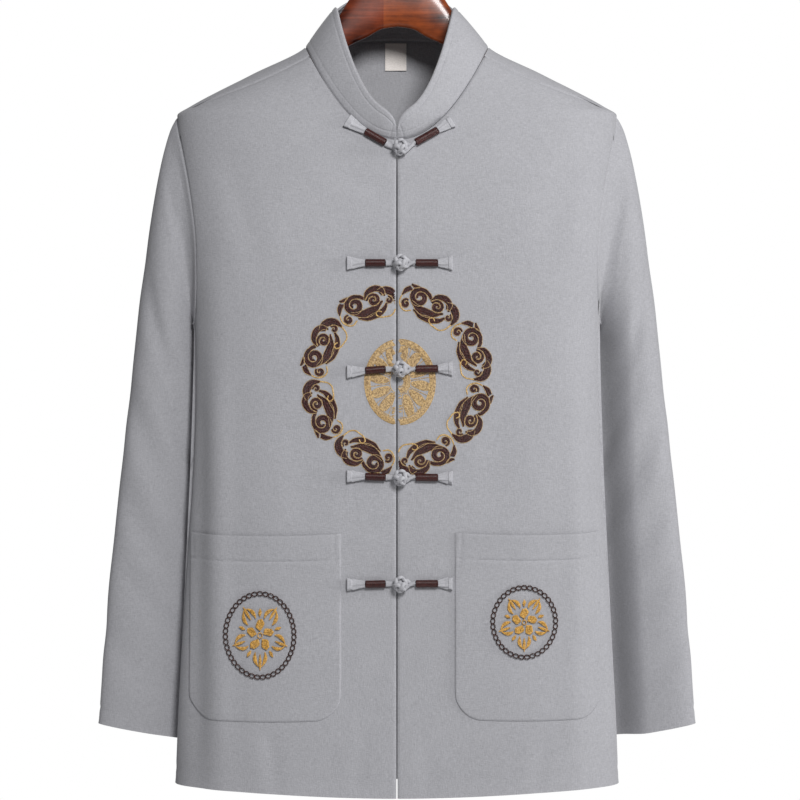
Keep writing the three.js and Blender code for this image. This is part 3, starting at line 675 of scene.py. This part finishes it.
def sleeve(side, flip):
    """A sleeve, from the armhole to the cuff, through ovals across it."""
    around, rows = 120, 228
    turn = circle(around)
    arm_angle, arm_drop = armhole(np.where(turn > math.pi, turn - TURN, turn))
    seam, seam_normal = body(arm_angle, arm_drop), body_normal(arm_angle, arm_drop)
    pit = seam[around // 2]
    share = ((1 - np.cos(turn)) / 2)[:, None]
    rings = [seam]
    for i in range(len(SLEEVE.columns["row"])):
        row = {key: values[i] for key, values in SLEEVE.columns.items()}
        out = points(row["outX"], row["outY"], -row["outDrop"])
        inside = points(row["inX"], row["inY"], -row["inDrop"])
        centre, along = (out + inside) / 2, (out - inside) / 2
        depth = points(0, 1, 0) - unit(along) * unit(along)[1]
        reach = np.where(np.sin(turn) > 0, -row["front"], row["back"]) * np.abs(np.sin(turn))
        oval = centre + np.cos(turn)[:, None] * along + reach[:, None] * unit(depth)
        carried = seam + mix(out - seam[0], inside - pit, share)
        ring = mix(carried, oval, smooth(0, 4, i + 1))
        rings.append(clear_of_body(ring, smooth(0, 4, i)))
    rings = np.array(rings)
    fall = shares(rows) ** 1.12 * (len(rings) - 1)
    grid = curve(np.arange(len(rings), dtype=float), rings, fall)
    normal = grid_normals(grid, True)
    if normal[rows // 2, 0, 0] < 0:
        normal = -normal
    blend = smooth(0, 4, np.arange(rows))[:, None, None]
    normal = unit(mix(seam_normal[None], normal, blend))
    length = edge_distance(grid, 0, False)
    fallen = length / length[-1]
    relief = pressed(length, "sleeve") + hemmed(length[-1] - length)
    # Next to the body and below the armpit, the front of the sleeve falls back.
    beside = grid[..., 0] - BODY.read(-grid[..., 2], "half")
    fallback = smooth(32, 2, beside) * smooth(-38, -8, beside) * np.maximum(0, np.sin(turn)) ** 0.3
    grid[..., 1] += SLEEVE_FALLBACK[side] * fallback * smooth(400, 470, -grid[..., 2])
    for at, where, reach, wide, depth in SLEEVE_TROUGHS:
        slant = (fallen - at - 0.05 * np.sin(turn - where)[None]) / wide
        off = (np.angle(np.exp(1j * (turn - where)))[None] / (reach * 4)) ** 2
        relief -= depth * (np.exp(-(slant**2) - off) - 0.5 * np.exp(-((slant - 1.6) ** 2) - off))
    mirror = np.array([flip, 1, 1])
    cloth(f"sleeve_{side}", grid * mirror, normal * mirror, relief, closed=True)


def clear_of_body(ring, share):
    """A sleeve's ring, moved out behind the body where the two would meet."""
    drop = -ring[:, 2]
    half = BODY.read(drop, "half")
    reach = np.minimum(np.abs(ring[:, 0]), half)
    behind = body(angle_at(reach, drop, True), drop)[:, 1] + SLEEVE_CLEARANCE
    near = smooth(0, 14, half + 14 - ring[:, 0]) * share
    y = np.where(ring[:, 1] < behind, mix(ring[:, 1], behind, near), ring[:, 1])
    return points(ring[:, 0], y, ring[:, 2])


# Collar


def collar_posts(turn):
    """The foot and the top of the collar at turns round the right half of the neck."""
    angle, drop = neckline(turn)
    foot = body(angle, drop)
    sine = np.abs(np.sin(turn))
    behind = turn > math.pi / 2
    top_drop = np.where(
        behind,
        COLLAR_SIDE - COLLAR_RISE * (1 - sine**COLLAR_BACK_BEND),
        COLLAR_SIDE + COLLAR_FALL * (1 - sine**COLLAR_FRONT_BEND),
    )
    forward = np.abs(np.cos(turn)) ** np.where(behind, 1, COLLAR_FRONT_BOW)
    y = mix(COLLAR_SIDE_Y, np.where(behind, COLLAR_BACK_Y, COLLAR_FRONT_Y), forward)
    least = np.where(behind, 0, FRONT_OPENING / 2)
    foot[:, 0] = np.maximum(foot[:, 0], least)
    return foot, points(np.maximum(COLLAR_HALF * sine, least), y, -top_drop)


def collar():
    """The standing collar, its front corners rounded."""
    around, high = 170, 46
    foot, top = collar_posts(math.pi * shares(around) ** 1.5)
    to_end = np.maximum(0, COLLAR_CORNER - run_along(top))
    cut = COLLAR_CORNER - np.sqrt(COLLAR_CORNER**2 - to_end**2)
    height = np.linalg.norm(top - foot, axis=1)
    top = mix(top, foot, (cut / height)[:, None])
    rise = crowded(high, 0.012, 0.012)[:, None, None]
    half = mix(foot[None], top[None], rise)
    grid = np.concatenate([half * [-1, 1, 1], half[:, -2::-1]], axis=1)
    grid[..., 0] += COLLAR_CENTRE * rise[..., 0] * np.minimum(1, np.abs(grid[..., 0]) / COLLAR_HALF)
    normals = grid_normals(grid)
    if normals[-1, around // 2, 0] > 0:
        normals = -normals
    from_foot, from_top, left, right = edges(grid)
    from_edge = np.minimum(from_top, np.minimum(left, right))
    relief = COLLAR_BULGE * np.sin(np.clip(from_foot / (from_foot + from_top), 0, 1) * math.pi)
    relief += pressed(from_edge, "collar edge") + pressed(from_edge - COLLAR_STITCHES, "collar stitches")
    relief += pressed(from_foot, "collar foot") + pressed(from_foot - FOOT_STITCHES, "foot stitches")
    cloth("collar", grid, normals, relief, COLLAR_THICK)


# Pockets


def pocket(side):
    """A patch pocket on its front, open at the mouth, where it stands a little away."""
    inner, outer, top, bottom = POCKETS[side]
    width = abs(outer - inner)
    across = crowded(90, 0.006, 0.006) * width
    fall = crowded(110, 0.005, 0.005)[:, None]
    x = inner + math.copysign(1, outer - inner) * across
    to_side = np.maximum(0, POCKET_CORNER - np.minimum(across, width - across))
    bend = POCKET_CORNER - np.sqrt(POCKET_CORNER**2 - to_side**2)
    sag = POCKET_SAG * 4 * (across / width) * (1 - across / width)
    drop = mix(top, bottom - bend, fall) + sag
    mouth = np.exp(-((drop - top) / 16) ** 2) * np.sin(across / width * math.pi) ** 0.7
    grid, normal = on_front(np.broadcast_to(x, drop.shape), drop)
    level, low, left, right = edges(grid)
    sides = np.minimum(left, right)
    edge = np.minimum(sides, low)
    relief = POCKET_RISE * (1 + mouth) + 0.3 * smooth(1, 9, edge) + pressed(edge, "pocket edge")
    relief += pressed(level, "pocket mouth") + pressed(level - POCKET_FACING, "pocket facing")
    tack = smooth(POCKET_FACING + 4, POCKET_FACING + 2, level)
    relief += pressed(sides - POCKET_TACK, "pocket tack") * tack
    cloth(f"pocket_{side}", grid, normal, relief, POCKET_CLOTH)


# Hanger, hook and label


def hanger(side, start, end, material):
    """One half of the wooden hanger, through rounded sections along it."""
    x = np.concatenate([[start], np.linspace(start, end, 130)[1:-1], [end]])
    around = circle(48)
    soft = lambda v: np.sign(v) * np.abs(v) ** HANGER_ROUND
    rings = []
    for at in x:
        top, bottom, half = (float(HANGER.read(abs(at), c)) for c in ("top", "bottom", "half"))
        low, mid = (bottom - top) / 2, (bottom + top) / 2
        rings.append(points(at, half * soft(np.cos(around)), -mid + low * soft(np.sin(around))))
    node = f"hanger_{side}"
    make(f"{node}_wood", *loft(np.array(rings)), material, "wood", node, 60)


def tube(path, radius, sides):
    """A round bar along a path."""
    along = unit(np.gradient(path, axis=0))
    sideways = unit(np.cross(along, [0.0, 1.0, 0.0]))
    upright = np.cross(sideways, along)
    turn = circle(sides)[None, :, None]
    out = np.cos(turn) * sideways[:, None] + np.sin(turn) * upright[:, None]
    return loft(path[:, None] + radius * out)


def hook():
    """The hook's wire: its bend and its stem, down to the top of the wood."""
    centre = HOOK_BEND - HOOK_WIRE / 2
    turn = np.linspace(HOOK_TIP, HOOK_TURN_IN, 17)
    arc = points(HOOK_BEND * np.cos(turn), 0, -centre + HOOK_BEND * np.sin(turn))
    foot = HANGER.columns["top"][0] - 0.3
    line = np.concatenate([arc, points(0, 0, -np.linspace(HOOK_STEM, foot, 3))])
    path = curve(np.arange(len(line), dtype=float), line, np.linspace(0, len(line) - 1, 220))
    for _ in range(6):
        path[1:-1] = (path[:-2] + 2 * path[1:-1] + path[2:]) / 4
    make("hook_wire", *tube(path, HOOK_WIRE / 2, 20), METAL, "metal", "hook", 60)


def label():
    """A bare tape inside the back of the neck, a little wavy towards its lower edge."""
    width, height, centre, start = 22, 28, -1.3, 150
    x = centre + np.linspace(-0.5, 0.5, 26) * width
    drop = (start + shares(30) * height)[:, None] * np.ones_like(x)
    x = x * np.ones_like(drop)
    angle = angle_at(x, drop, True)
    grid, normal = body(angle, drop), body_normal(angle, drop)
    wave = 0.3 * np.sin(x / 5) * ((drop - start) / height)
    face, under = (grid - normal * (depth + wave)[..., None] for depth in (2.2, 2.9))
    piece = make("label_tape", *shell(face, under), CREAM, "label", "label")


# Frog fastenings


def frog_line(number, at):
    """The drop of a fastening's middle line at some places across the front."""
    drop = FROG_DROPS[number - 1]
    if number == 1:
        return drop - FROG_RISE.read(np.abs(at - FROG_CENTRE), "rise")
    reach = smooth(8, 50, np.abs(at - FROG_CENTRE)) * 52
    return drop + FROG_SLOPES[number - 1] * np.where(at < FROG_CENTRE, -reach, reach * 0.3)


def lying(number, at, high, deep, low=0.3, around=20, form=None):
    """A bar on the front, with its height and depth at places across it."""
    drop = frog_line(number, at)
    on_cloth, normal = on_front(at, drop)
    along = unit(np.gradient(on_cloth, axis=0))
    across = unit(np.cross(normal, along))
    centre = on_cloth + normal * (deep / 2 + low)[:, None]
    turn = circle(around)
    stretch = np.ones((len(at), around))
    if form is not None:
        stretch = form(shares(len(at))[:, None], turn[None])
    wide = across * (high / 2)[:, None]
    tall = normal * (deep / 2)[:, None]
    c, s = (np.cos(turn) * stretch)[..., None], (np.sin(turn) * stretch)[..., None]
    return centre[:, None] + c * wide[:, None] + s * tall[:, None]


def frog_piece(number, name, verts, faces, material=KNOT_GREY, slot="cloth"):
    node = f"frog_{number}_{name}"
    make(f"{node}_detail", verts, faces, material, slot, node, 70)


def wrap(number, name, start, end):
    """A cord wound closely round the strap: its turns show as fine ribs."""
    at = np.linspace(start, end, 150)
    share = shares(150)
    rounding = np.minimum(1, np.minimum(share, 1 - share) * 12 + 0.62)
    turns = abs(end - start) * 5.6
    coil = lambda t, turn: 1 + WRAP_RIB * np.sin(t * turns + turn)
    rings = lying(number, at, WRAP_HIGH * rounding, WRAP_DEEP * rounding, 0.3, 22, coil)
    frog_piece(number, name, *loft(rings), WRAP_BROWN, "wrap")


def strap(number, name, start, end, twist):
    """The strap's flared end: folded cloth with pleats that run into the wrap."""
    share = shares(70)
    at = mix(start, end, share)
    tier = smooth(0.0, 0.05, share) * (1 - smooth(0.26, 0.3, share))
    high = mix(*STRAP_HIGH, share**0.8) - STRAP_FOLD * (1 - tier) * (share < 0.3)
    deep = mix(*STRAP_DEEP, share) + STRAP_FOLD * (tier - 1 + smooth(0.0, 0.05, share))
    pleats = lambda t, turn: (
        1 + 0.16 * np.cos(turn * 6 + twist + 3 * t) * smooth(0.22, 0.36, t)
        + 0.1 * np.cos(turn * 4 + twist * 2) * (1 - smooth(0.22, 0.36, t))
    )
    frog_piece(number, name, *loft(lying(number, at, high, deep, 0.25, 36, pleats)))


def cords_joined(parts):
    """Several forms in one list of points and faces."""
    verts, faces, start = [], [], 0
    for part_verts, part_faces in parts:
        verts.append(part_verts)
        faces += [np.asarray(f) + start for f in part_faces]
        start += len(part_verts)
    return np.concatenate(verts), faces


def knot(number):
    """A woven ball knot, one cord that passes over and under itself, and its neck."""
    centre_drop = float(frog_line(number, np.array(FROG_CENTRE)))
    on_cloth, normal = on_front(np.array([FROG_CENTRE]), np.array([centre_drop]))
    centre = on_cloth[0] + normal[0] * (KNOT / 2 + 0.4)
    # The cord goes round the ball by its leads and meets its rims at its bights.
    leads, bights, tilt = 3, 5, math.radians(58)
    t = circle(420)
    high = 0.92 * np.cos(bights * t)
    out = KNOT_REACH + KNOT_WAVE * np.cos(2 * bights * t + 0.6)
    lon = leads * t + 0.35 * number
    x, y, z = out * np.cos(lon) * np.cos(high), out * np.sin(lon) * np.cos(high), out * np.sin(high)
    c, s = math.cos(tilt), math.sin(tilt)
    path = centre + points(x, y * c - z * s, y * s + z * c)
    along = unit(np.roll(path, -1, axis=0) - np.roll(path, 1, axis=0))
    sideways = unit(np.cross(along, unit(path - centre)))
    upright = np.cross(sideways, along)
    turn = circle(12)[None, :, None]
    wide, tall = np.cos(turn) * sideways[:, None] * 1.12, np.sin(turn) * upright[:, None]
    rings = path[:, None] + KNOT_CORD * (wide + tall)
    count, around = rings.shape[:2]
    cord = rings.reshape(-1, 3)
    cord_faces = grid_faces(count + 1, around, 0, True) % (count * around)
    rise, round_core = np.linspace(0, math.pi, 12)[1:-1, None], circle(24)
    core = points(np.cos(rise), np.sin(rise) * np.cos(round_core), np.sin(rise) * np.sin(round_core))
    at = np.linspace(FROG_LEFT["neck"] + 0.3, FROG_CENTRE - 5, 40)
    twisted = lambda t, turn: 1 + 0.1 * np.cos(2 * turn + 5 * t)
    neck = lying(number, at, np.full(40, 5.4), np.full(40, 4.2), 0.3, 20, twisted)
    parts = [(cord, outward(cord, cord_faces)), loft(centre + KNOT_CORE * core), loft(neck)]
    frog_piece(number, "knot", *cords_joined(parts))


def loop(number):
    """The loop's two cords, side by side behind the knot and twisted once."""
    parts = []
    at = np.linspace(FROG_CENTRE + 5.5, FROG_RIGHT["neck"] - 0.3, 50)
    share = shares(50)
    for side in (-1, 1):
        drop = frog_line(number, at) + side * mix(3.6, 1.7, smooth(0, 0.5, share)) * np.cos(share * 2.2)
        rise = 2.4 + 0.9 * side * np.sin(share * 2.2)
        path, normal = on_front(at, drop)
        parts.append(tube(path + normal * rise[:, None], KNOT_CORD, 12))
    frog_piece(number, "loop", *cords_joined(parts))


def frog(number):
    strap(number, "strap_left", FROG_LEFT["end"], FROG_LEFT["wrap"] - 0.1, 0.4 * number)
    wrap(number, "wrap_left", FROG_LEFT["wrap"], FROG_LEFT["neck"])
    knot(number)
    loop(number)
    wrap(number, "wrap_right", FROG_RIGHT["neck"], FROG_RIGHT["wrap"])
    strap(number, "strap_right", FROG_RIGHT["end"], FROG_RIGHT["wrap"] + 0.1, 1.3 + 0.7 * number)


# Embroidery, drawn in millimetres across and down and laid on the cloth

OPENING_MARGIN = 1.3
BLOSSOM = 71


def threads(starts, ends, normals, width, high):
    """Short arched stitches between points, each four faces long and two across."""
    along = np.array([0, 0.1, 0.5, 0.9, 1.0])
    wide = np.array([0.35, 0.9, 1, 0.9, 0.35])
    tall = np.array([0, 0.75, 1, 0.75, 0])
    side = unit(np.cross(ends - starts, normals))
    place = starts[:, None] + (ends - starts)[:, None] * along[None, :, None]
    edge = side[:, None] * (width / 2 * wide)[None, :, None]
    ridge = place + normals[:, None] * (high * tall)[None, :, None]
    verts = np.stack([place - edge, ridge, place + edge], axis=2)
    first = np.arange(len(starts))[:, None, None] * verts[0].size // 3
    return verts.reshape(-1, 3), (grid_faces(len(along), 3)[None] + first).reshape(-1, 4)


def beside(way):
    """The way to the side of a flat line."""
    return flat_points(-way[:, 1], way[:, 0])


class Needlework:
    """Stitches of one thread, gathered on the flat drawing and laid on the front together."""

    def __init__(self, width, high, raised=0.15):
        self.width, self.high, self.raised = width, high, raised
        self.starts, self.ends = [], []

    def stitch(self, starts, ends):
        self.starts.append(np.atleast_2d(starts))
        self.ends.append(np.atleast_2d(ends))

    def along(self, line, step=1.9, lap=0.5, slant=0.25):
        """A cord: short slanting stitches one behind the other."""
        line = even(line, step)
        way = unit(line[1:] - line[:-1])
        off = beside(way) * slant
        self.stitch(line[:-1] - way * lap - off, line[1:] + way * lap + off)

    def satin(self, line, half, step, longest=5.0, lean=0.35):
        """A filled stroke: stitches from edge to edge, split where they are long."""
        line, half = even(line, step, half)
        way = unit(np.gradient(line, axis=0))
        off = beside(way) + way * lean
        a, b = line - off * half[:, None], line + off * half[:, None]
        pieces = np.maximum(1, np.ceil(2 * half / longest)).astype(int)
        for count in range(1, pieces.max() + 1):
            chosen = pieces == count
            if not chosen.any():
                continue
            cuts = shares(count + 1)[None] + np.zeros((chosen.sum(), 1))
            cuts[:, 1:-1] += rng.uniform(-0.35, 0.35, cuts[:, 1:-1].shape) / count
            for k in range(count):
                span = (b - a)[chosen]
                self.stitch(a[chosen] + span * cuts[:, k, None], a[chosen] + span * cuts[:, k + 1, None])

    def laid(self, name, material, slot, over=0.0):
        """All its stitches as one piece, without those that would cross the front opening."""
        starts, ends = np.concatenate(self.starts), np.concatenate(self.ends)
        crossing = np.minimum(np.abs(starts[:, 0]), np.abs(ends[:, 0])) < OPENING_MARGIN
        crossing |= starts[:, 0] * ends[:, 0] < 0
        starts, ends = starts[~crossing], ends[~crossing]
        raised = self.raised + over + rng.uniform(0, 0.08, len(starts))
        a, normal = on_front(starts[:, 0], starts[:, 1])
        b, _ = on_front(ends[:, 0], ends[:, 1])
        a, b = a + normal * raised[:, None], b + normal * raised[:, None]
        make(name, *threads(a, b, normal, self.width, self.high), material, slot)


def even(line, step, half=None):
    """A flat line, and a width along it, at even steps."""
    run = run_along(line)
    at = np.linspace(0, run[-1], max(3, int(round(run[-1] / step)) + 1))
    out = flat_points(*(np.interp(at, run, values) for values in line.T))
    return out if half is None else (out, np.interp(at, run, half))


def bent(*corners, count=60):
    """A smooth flat line through some points."""
    corners = np.array(corners, float)
    return curve(np.arange(len(corners), dtype=float), corners, np.linspace(0, len(corners) - 1, count))


def spiral(cx, cy, r0, r1, a0, a1, count=90):
    """A flat spiral between two radii and two angles in degrees."""
    turn, r = np.radians(np.linspace(a0, a1, count)), np.linspace(r0, r1, count)
    return flat_points(cx + r * np.cos(turn), cy + r * np.sin(turn))


def swell(count, start, middle, end):
    """A stroke's half width, which swells in the middle."""
    return curve(np.array([0, 0.5, 1.0]), np.array([start, middle, end], float), shares(count))


def stroke(widths, *corners):
    return bent(*corners), swell(60, *widths)


def edges_of(line, half):
    off = beside(unit(np.gradient(line, axis=0))) * half[:, None]
    return line - off, line + off


# One cloud of the ring, its strokes and their half widths: x runs along the ring, y out from it.
VOLUTE = np.concatenate([spiral(-10, 3, 2.2, 8.6, 560, 45), bent((-2.2, 8.4), (0.2, 5.6), count=8)])
CLOUD = [
    (VOLUTE, swell(98, 0.9, 2.2, 1.2)),
    (VOLUTE * [-0.62, 0.62] + [2.5, -1], swell(98, 0.8, 1.7, 1.0)),
    stroke((0.5, 2.4, 0.6), (1, 3.5), (5, 9.5), (12, 11.5), (18, 8.5), (20, 3)),
    stroke((0.6, 3.4, 0.6), (-17, -2), (-9, -7.4), (0, -9), (9, -7.4), (17, -2)),
    stroke((0.5, 2.3, 0.8), (-13, -10), (-3, -14.6), (8, -14), (18, -9.5), (21, -4.5)),
    stroke((2.6, 3.0, 0.6), (15.5, 6.5), (21, 8.2), (26.5, 5.5), (30, 0), (30.5, -6)),
    (spiral(-22.5, -5, 1.1, 4.0, 480, 60, 60), swell(60, 0.8, 1.5, 0.9)),
    (spiral(23.5, -1.6, 0.9, 3.3, -250, 90, 60), swell(60, 0.7, 1.3, 0.8)),
    stroke((1.9, 1.9, 0.5), (-19, 10.5), (-22.5, 8.5), (-26.5, 3.5)),
    stroke((0.4, 1.3, 0.6), (-12, 13), (-16, 12.6), (-19, 14)),
]
CLOUD_CORDS = [
    bent((30.5, -6), (29, -13), (22, -17.6), (13, -17.4), (7, -13.5), (10, -10.5), (14, -12)),
    bent((-27, 2.5), (-29, -3.5), (-27, -9.5), (-21.5, -12.4), (-16, -10.8)),
]
RING_CENTRE = (0.0, 496.0)
RING_RADIUS, RING_CLOUDS, STROKE_WEIGHT = 80.5, 8, 1.22


def on_ring(line, middle):
    """A cloud's lines bent round the ring."""
    turn = math.radians(middle) + line[:, 0] / RING_RADIUS
    out = RING_RADIUS + line[:, 1]
    return flat_points(RING_CENTRE[0] + out * np.sin(turn), RING_CENTRE[1] - out * np.cos(turn))


def chest_ring():
    """Eight clouds, filled in brown, with gold edges and gold cords."""
    fill, veins, cords = Needlework(1.0, 0.32), Needlework(0.5, 0.25), Needlework(1.25, 0.55)
    for middle in (np.arange(RING_CLOUDS) + 0.5) * 360 / RING_CLOUDS:
        for line, half in CLOUD:
            fill.satin(on_ring(line, middle), half * STROKE_WEIGHT, 0.74, 3.2)
            for edge in edges_of(line, half * STROKE_WEIGHT + 0.2):
                veins.along(on_ring(edge, middle), 2.2, 0.4, 0.08)
        for line in CLOUD_CORDS:
            cords.along(on_ring(line, middle), 1.7, 0.45, 0.3)
    fill.laid("chest_ring_fill", THREAD_BROWN, "embroidery_brown")
    veins.laid("chest_ring_edges", THREAD_PALE_GOLD, "embroidery_gold", 0.22)
    cords.laid("chest_ring_cords", THREAD_GOLD, "embroidery_gold", 0.1)


def oval_point(centre, across, down, rho, turn):
    """Points of an oval clockwise from its top, at a share rho of its reach."""
    return flat_points(centre[0] + across * rho * np.sin(turn), centre[1] - down * rho * np.cos(turn))


def medallion():
    """A rosette: a rim, twelve petals and an eye."""
    petals = 12
    at = lambda rho, turn: oval_point((3, 497.5), 34.5, 41.5, rho, turn)
    full = np.linspace(0, TURN, 240)
    gold, edge = Needlework(1.0, 0.34), Needlework(0.6, 0.3)
    gold.satin(at(0.925, full), np.full(240, 2.7), 0.72, 9, 0.5)
    gold.satin(at(0.2, full), np.full(240, 2.8), 0.66, 9, 0.5)
    swelling = np.sin(np.linspace(0.12, 1, 40) ** 0.8 * math.pi * 0.86) ** 0.7
    half = 6.4 * swelling * np.linspace(0.5, 1, 40)
    for k in range(petals):
        turn = TURN * k / petals + 0.13
        gold.satin(at(np.linspace(0.33, 0.83, 40), turn), half, 0.72, 4.6, 0.3)
        edge.along(at(np.linspace(0.3, 0.9, 30), turn + TURN / petals / 2), 2.0, 0.4, 0.06)
    for rho in (0.84, 1.0, 0.11, 0.29):
        edge.along(at(rho, full), 2.0, 0.4, 0.06)
    gold.laid("medallion_fill", THREAD_PALE_GOLD, "embroidery_gold")
    edge.laid("medallion_edges", THREAD_GOLD, "embroidery_gold", 0.2)


def pocket_emblem(name, cx, cy, across, down):
    """A ring of small chain loops round a blossom with leaves."""
    chain, gold = Needlework(1.25, 0.5, 3.7), Needlework(0.95, 0.4, 3.7)
    a, b, link = across / 2 - 2.6, down / 2 - 2.6, 5.4
    around = np.linspace(0, TURN, 400)
    oval = oval_point((cx, cy), a, b, 1, around)
    links = int(round(math.pi * (a + b) / link))
    places = even(oval, run_along(oval)[-1] / links)
    ways = unit(np.diff(places, axis=0))
    for k, (place, way, side) in enumerate(zip(places, ways, beside(ways))):
        turn = (np.linspace(0, TURN, 9) + 0.4 * k)[:, None]
        ring = place + np.cos(turn) * way * 2.75 + np.sin(turn) * side * 2.1
        chain.stitch(ring[:-1], ring[1:])
    scale = (across / BLOSSOM, down / BLOSSOM)

    def petal(inner, outer, turn, widths, bend=0.0):
        t = shares(30)
        line = oval_point((cx, cy), *scale, mix(inner, outer, t), turn + bend * t**2)
        gold.satin(line, swell(30, *widths), 0.8, 4.2, 0.3)

    for k in range(5):
        turn = TURN * k / 5
        petal(4, 12.5, turn, (0.8, 4.4, 2.2))
        petal(14.5, 25, turn + 0.3, (0.5, 1.9, 0.4), 0.28)
        petal(14.5, 25, turn - 0.3, (0.5, 1.9, 0.4), -0.28)
        petal(15.5, 27.5, turn + TURN / 10, (0.5, 1.5, 0.4))
        petal(15.5, 21, turn, (0.6, 1.7, 0.5))
    gold.along(oval_point((cx, cy), *scale, 2.2, around), 1.5, 0.4, 0.1)
    chain.laid(f"{name}_chain", THREAD_DARK, "embroidery_brown")
    gold.laid(f"{name}_blossom", THREAD_ORANGE, "embroidery_gold")


# Floor, lights and camera


def stage_and_lights():
    mesh = bpy.data.meshes.new("floor")
    radius, height = 1.4, -1.3
    rim = [(radius * math.cos(turn), radius * math.sin(turn), height) for turn in circle(72)]
    mesh.from_pydata(rim, [], [list(range(len(rim)))])
    floor = placed("floor", mesh)
    pale = Paint("pale floor")
    grain = pale.noise(pale.place, 40, 2)
    pale.colour(pale.ramp(grain, (0.3, (0.86, 0.86, 0.86)), (0.7, (0.9, 0.9, 0.9))))
    pale.set(Roughness=0.8)
    floor.data.materials.append(pale.material)
    world = bpy.data.worlds.new("white studio")
    bpy.context.scene.world = world
    world.use_nodes = True
    tree = world.node_tree
    seen = tree.nodes["Background"]
    seen.inputs["Color"].default_value = (1, 1, 1, 1)
    ambient = tree.nodes.new("ShaderNodeBackground")
    ambient.inputs["Color"].default_value = (0.97, 0.98, 1, 1)
    ambient.inputs["Strength"].default_value = 0.15
    path = tree.nodes.new("ShaderNodeLightPath")
    shown = tree.nodes.new("ShaderNodeMixShader")
    tree.links.new(path.outputs["Is Camera Ray"], shown.inputs[0])
    tree.links.new(ambient.outputs[0], shown.inputs[1])
    tree.links.new(seen.outputs[0], shown.inputs[2])
    tree.links.new(shown.outputs[0], tree.nodes["World Output"].inputs["Surface"])
    lamp("key", (0.55, -2.15, 0.66), (0.0, 0, -0.45), size=0.7, power=48)
    lamp("side", (5.0, -1.1, -0.1), (0.1, 0, -0.45), size=1.6, power=118)


def lamp(name, place, target, size, power):
    """A round lamp at a place, turned to its target."""
    data = bpy.data.lights.new(name, "AREA")
    data.shape = "DISK"
    data.size = size
    data.energy = power
    light = placed(name, data)
    light.location = place
    way = Vector(target) - Vector(place)
    light.rotation_euler = way.to_track_quat("-Z", "Y").to_euler()


def camera():
    data = bpy.data.cameras.new("camera")
    eye = placed("camera", data)
    distance, width, middle = 2.4, 0.8, 0.515
    eye.location = (0.003, -distance, -middle)
    eye.rotation_euler = (math.pi / 2, 0, 0)
    data.sensor_fit = "HORIZONTAL"
    data.angle = 2 * math.atan(width / 2 / distance)
    bpy.context.scene.camera = eye


stage_and_lights()
camera()
front("left", -1)
front("right", 1)
back()
sleeve("left", -1)
sleeve("right", 1)
collar()
pocket("left")
pocket("right")
# The left half takes the wood with painted shade, the right half the wood with painted light.
hanger("left", HANGER_JOINT - HANGER_GAP, -HANGER_END, WOOD_SHADED_LEFT)
hanger("right", HANGER_JOINT + HANGER_GAP, HANGER_END, WOOD_LIT_RIGHT)
hook()
label()
for number in range(1, 6):
    frog(number)
chest_ring()
medallion()
pocket_emblem("pocket_left", -132.7, 743.8, 71, 86.5)
pocket_emblem("pocket_right", 123.5, 731, 66, 73)

bpy.context.scene.view_settings.view_transform = "Standard"
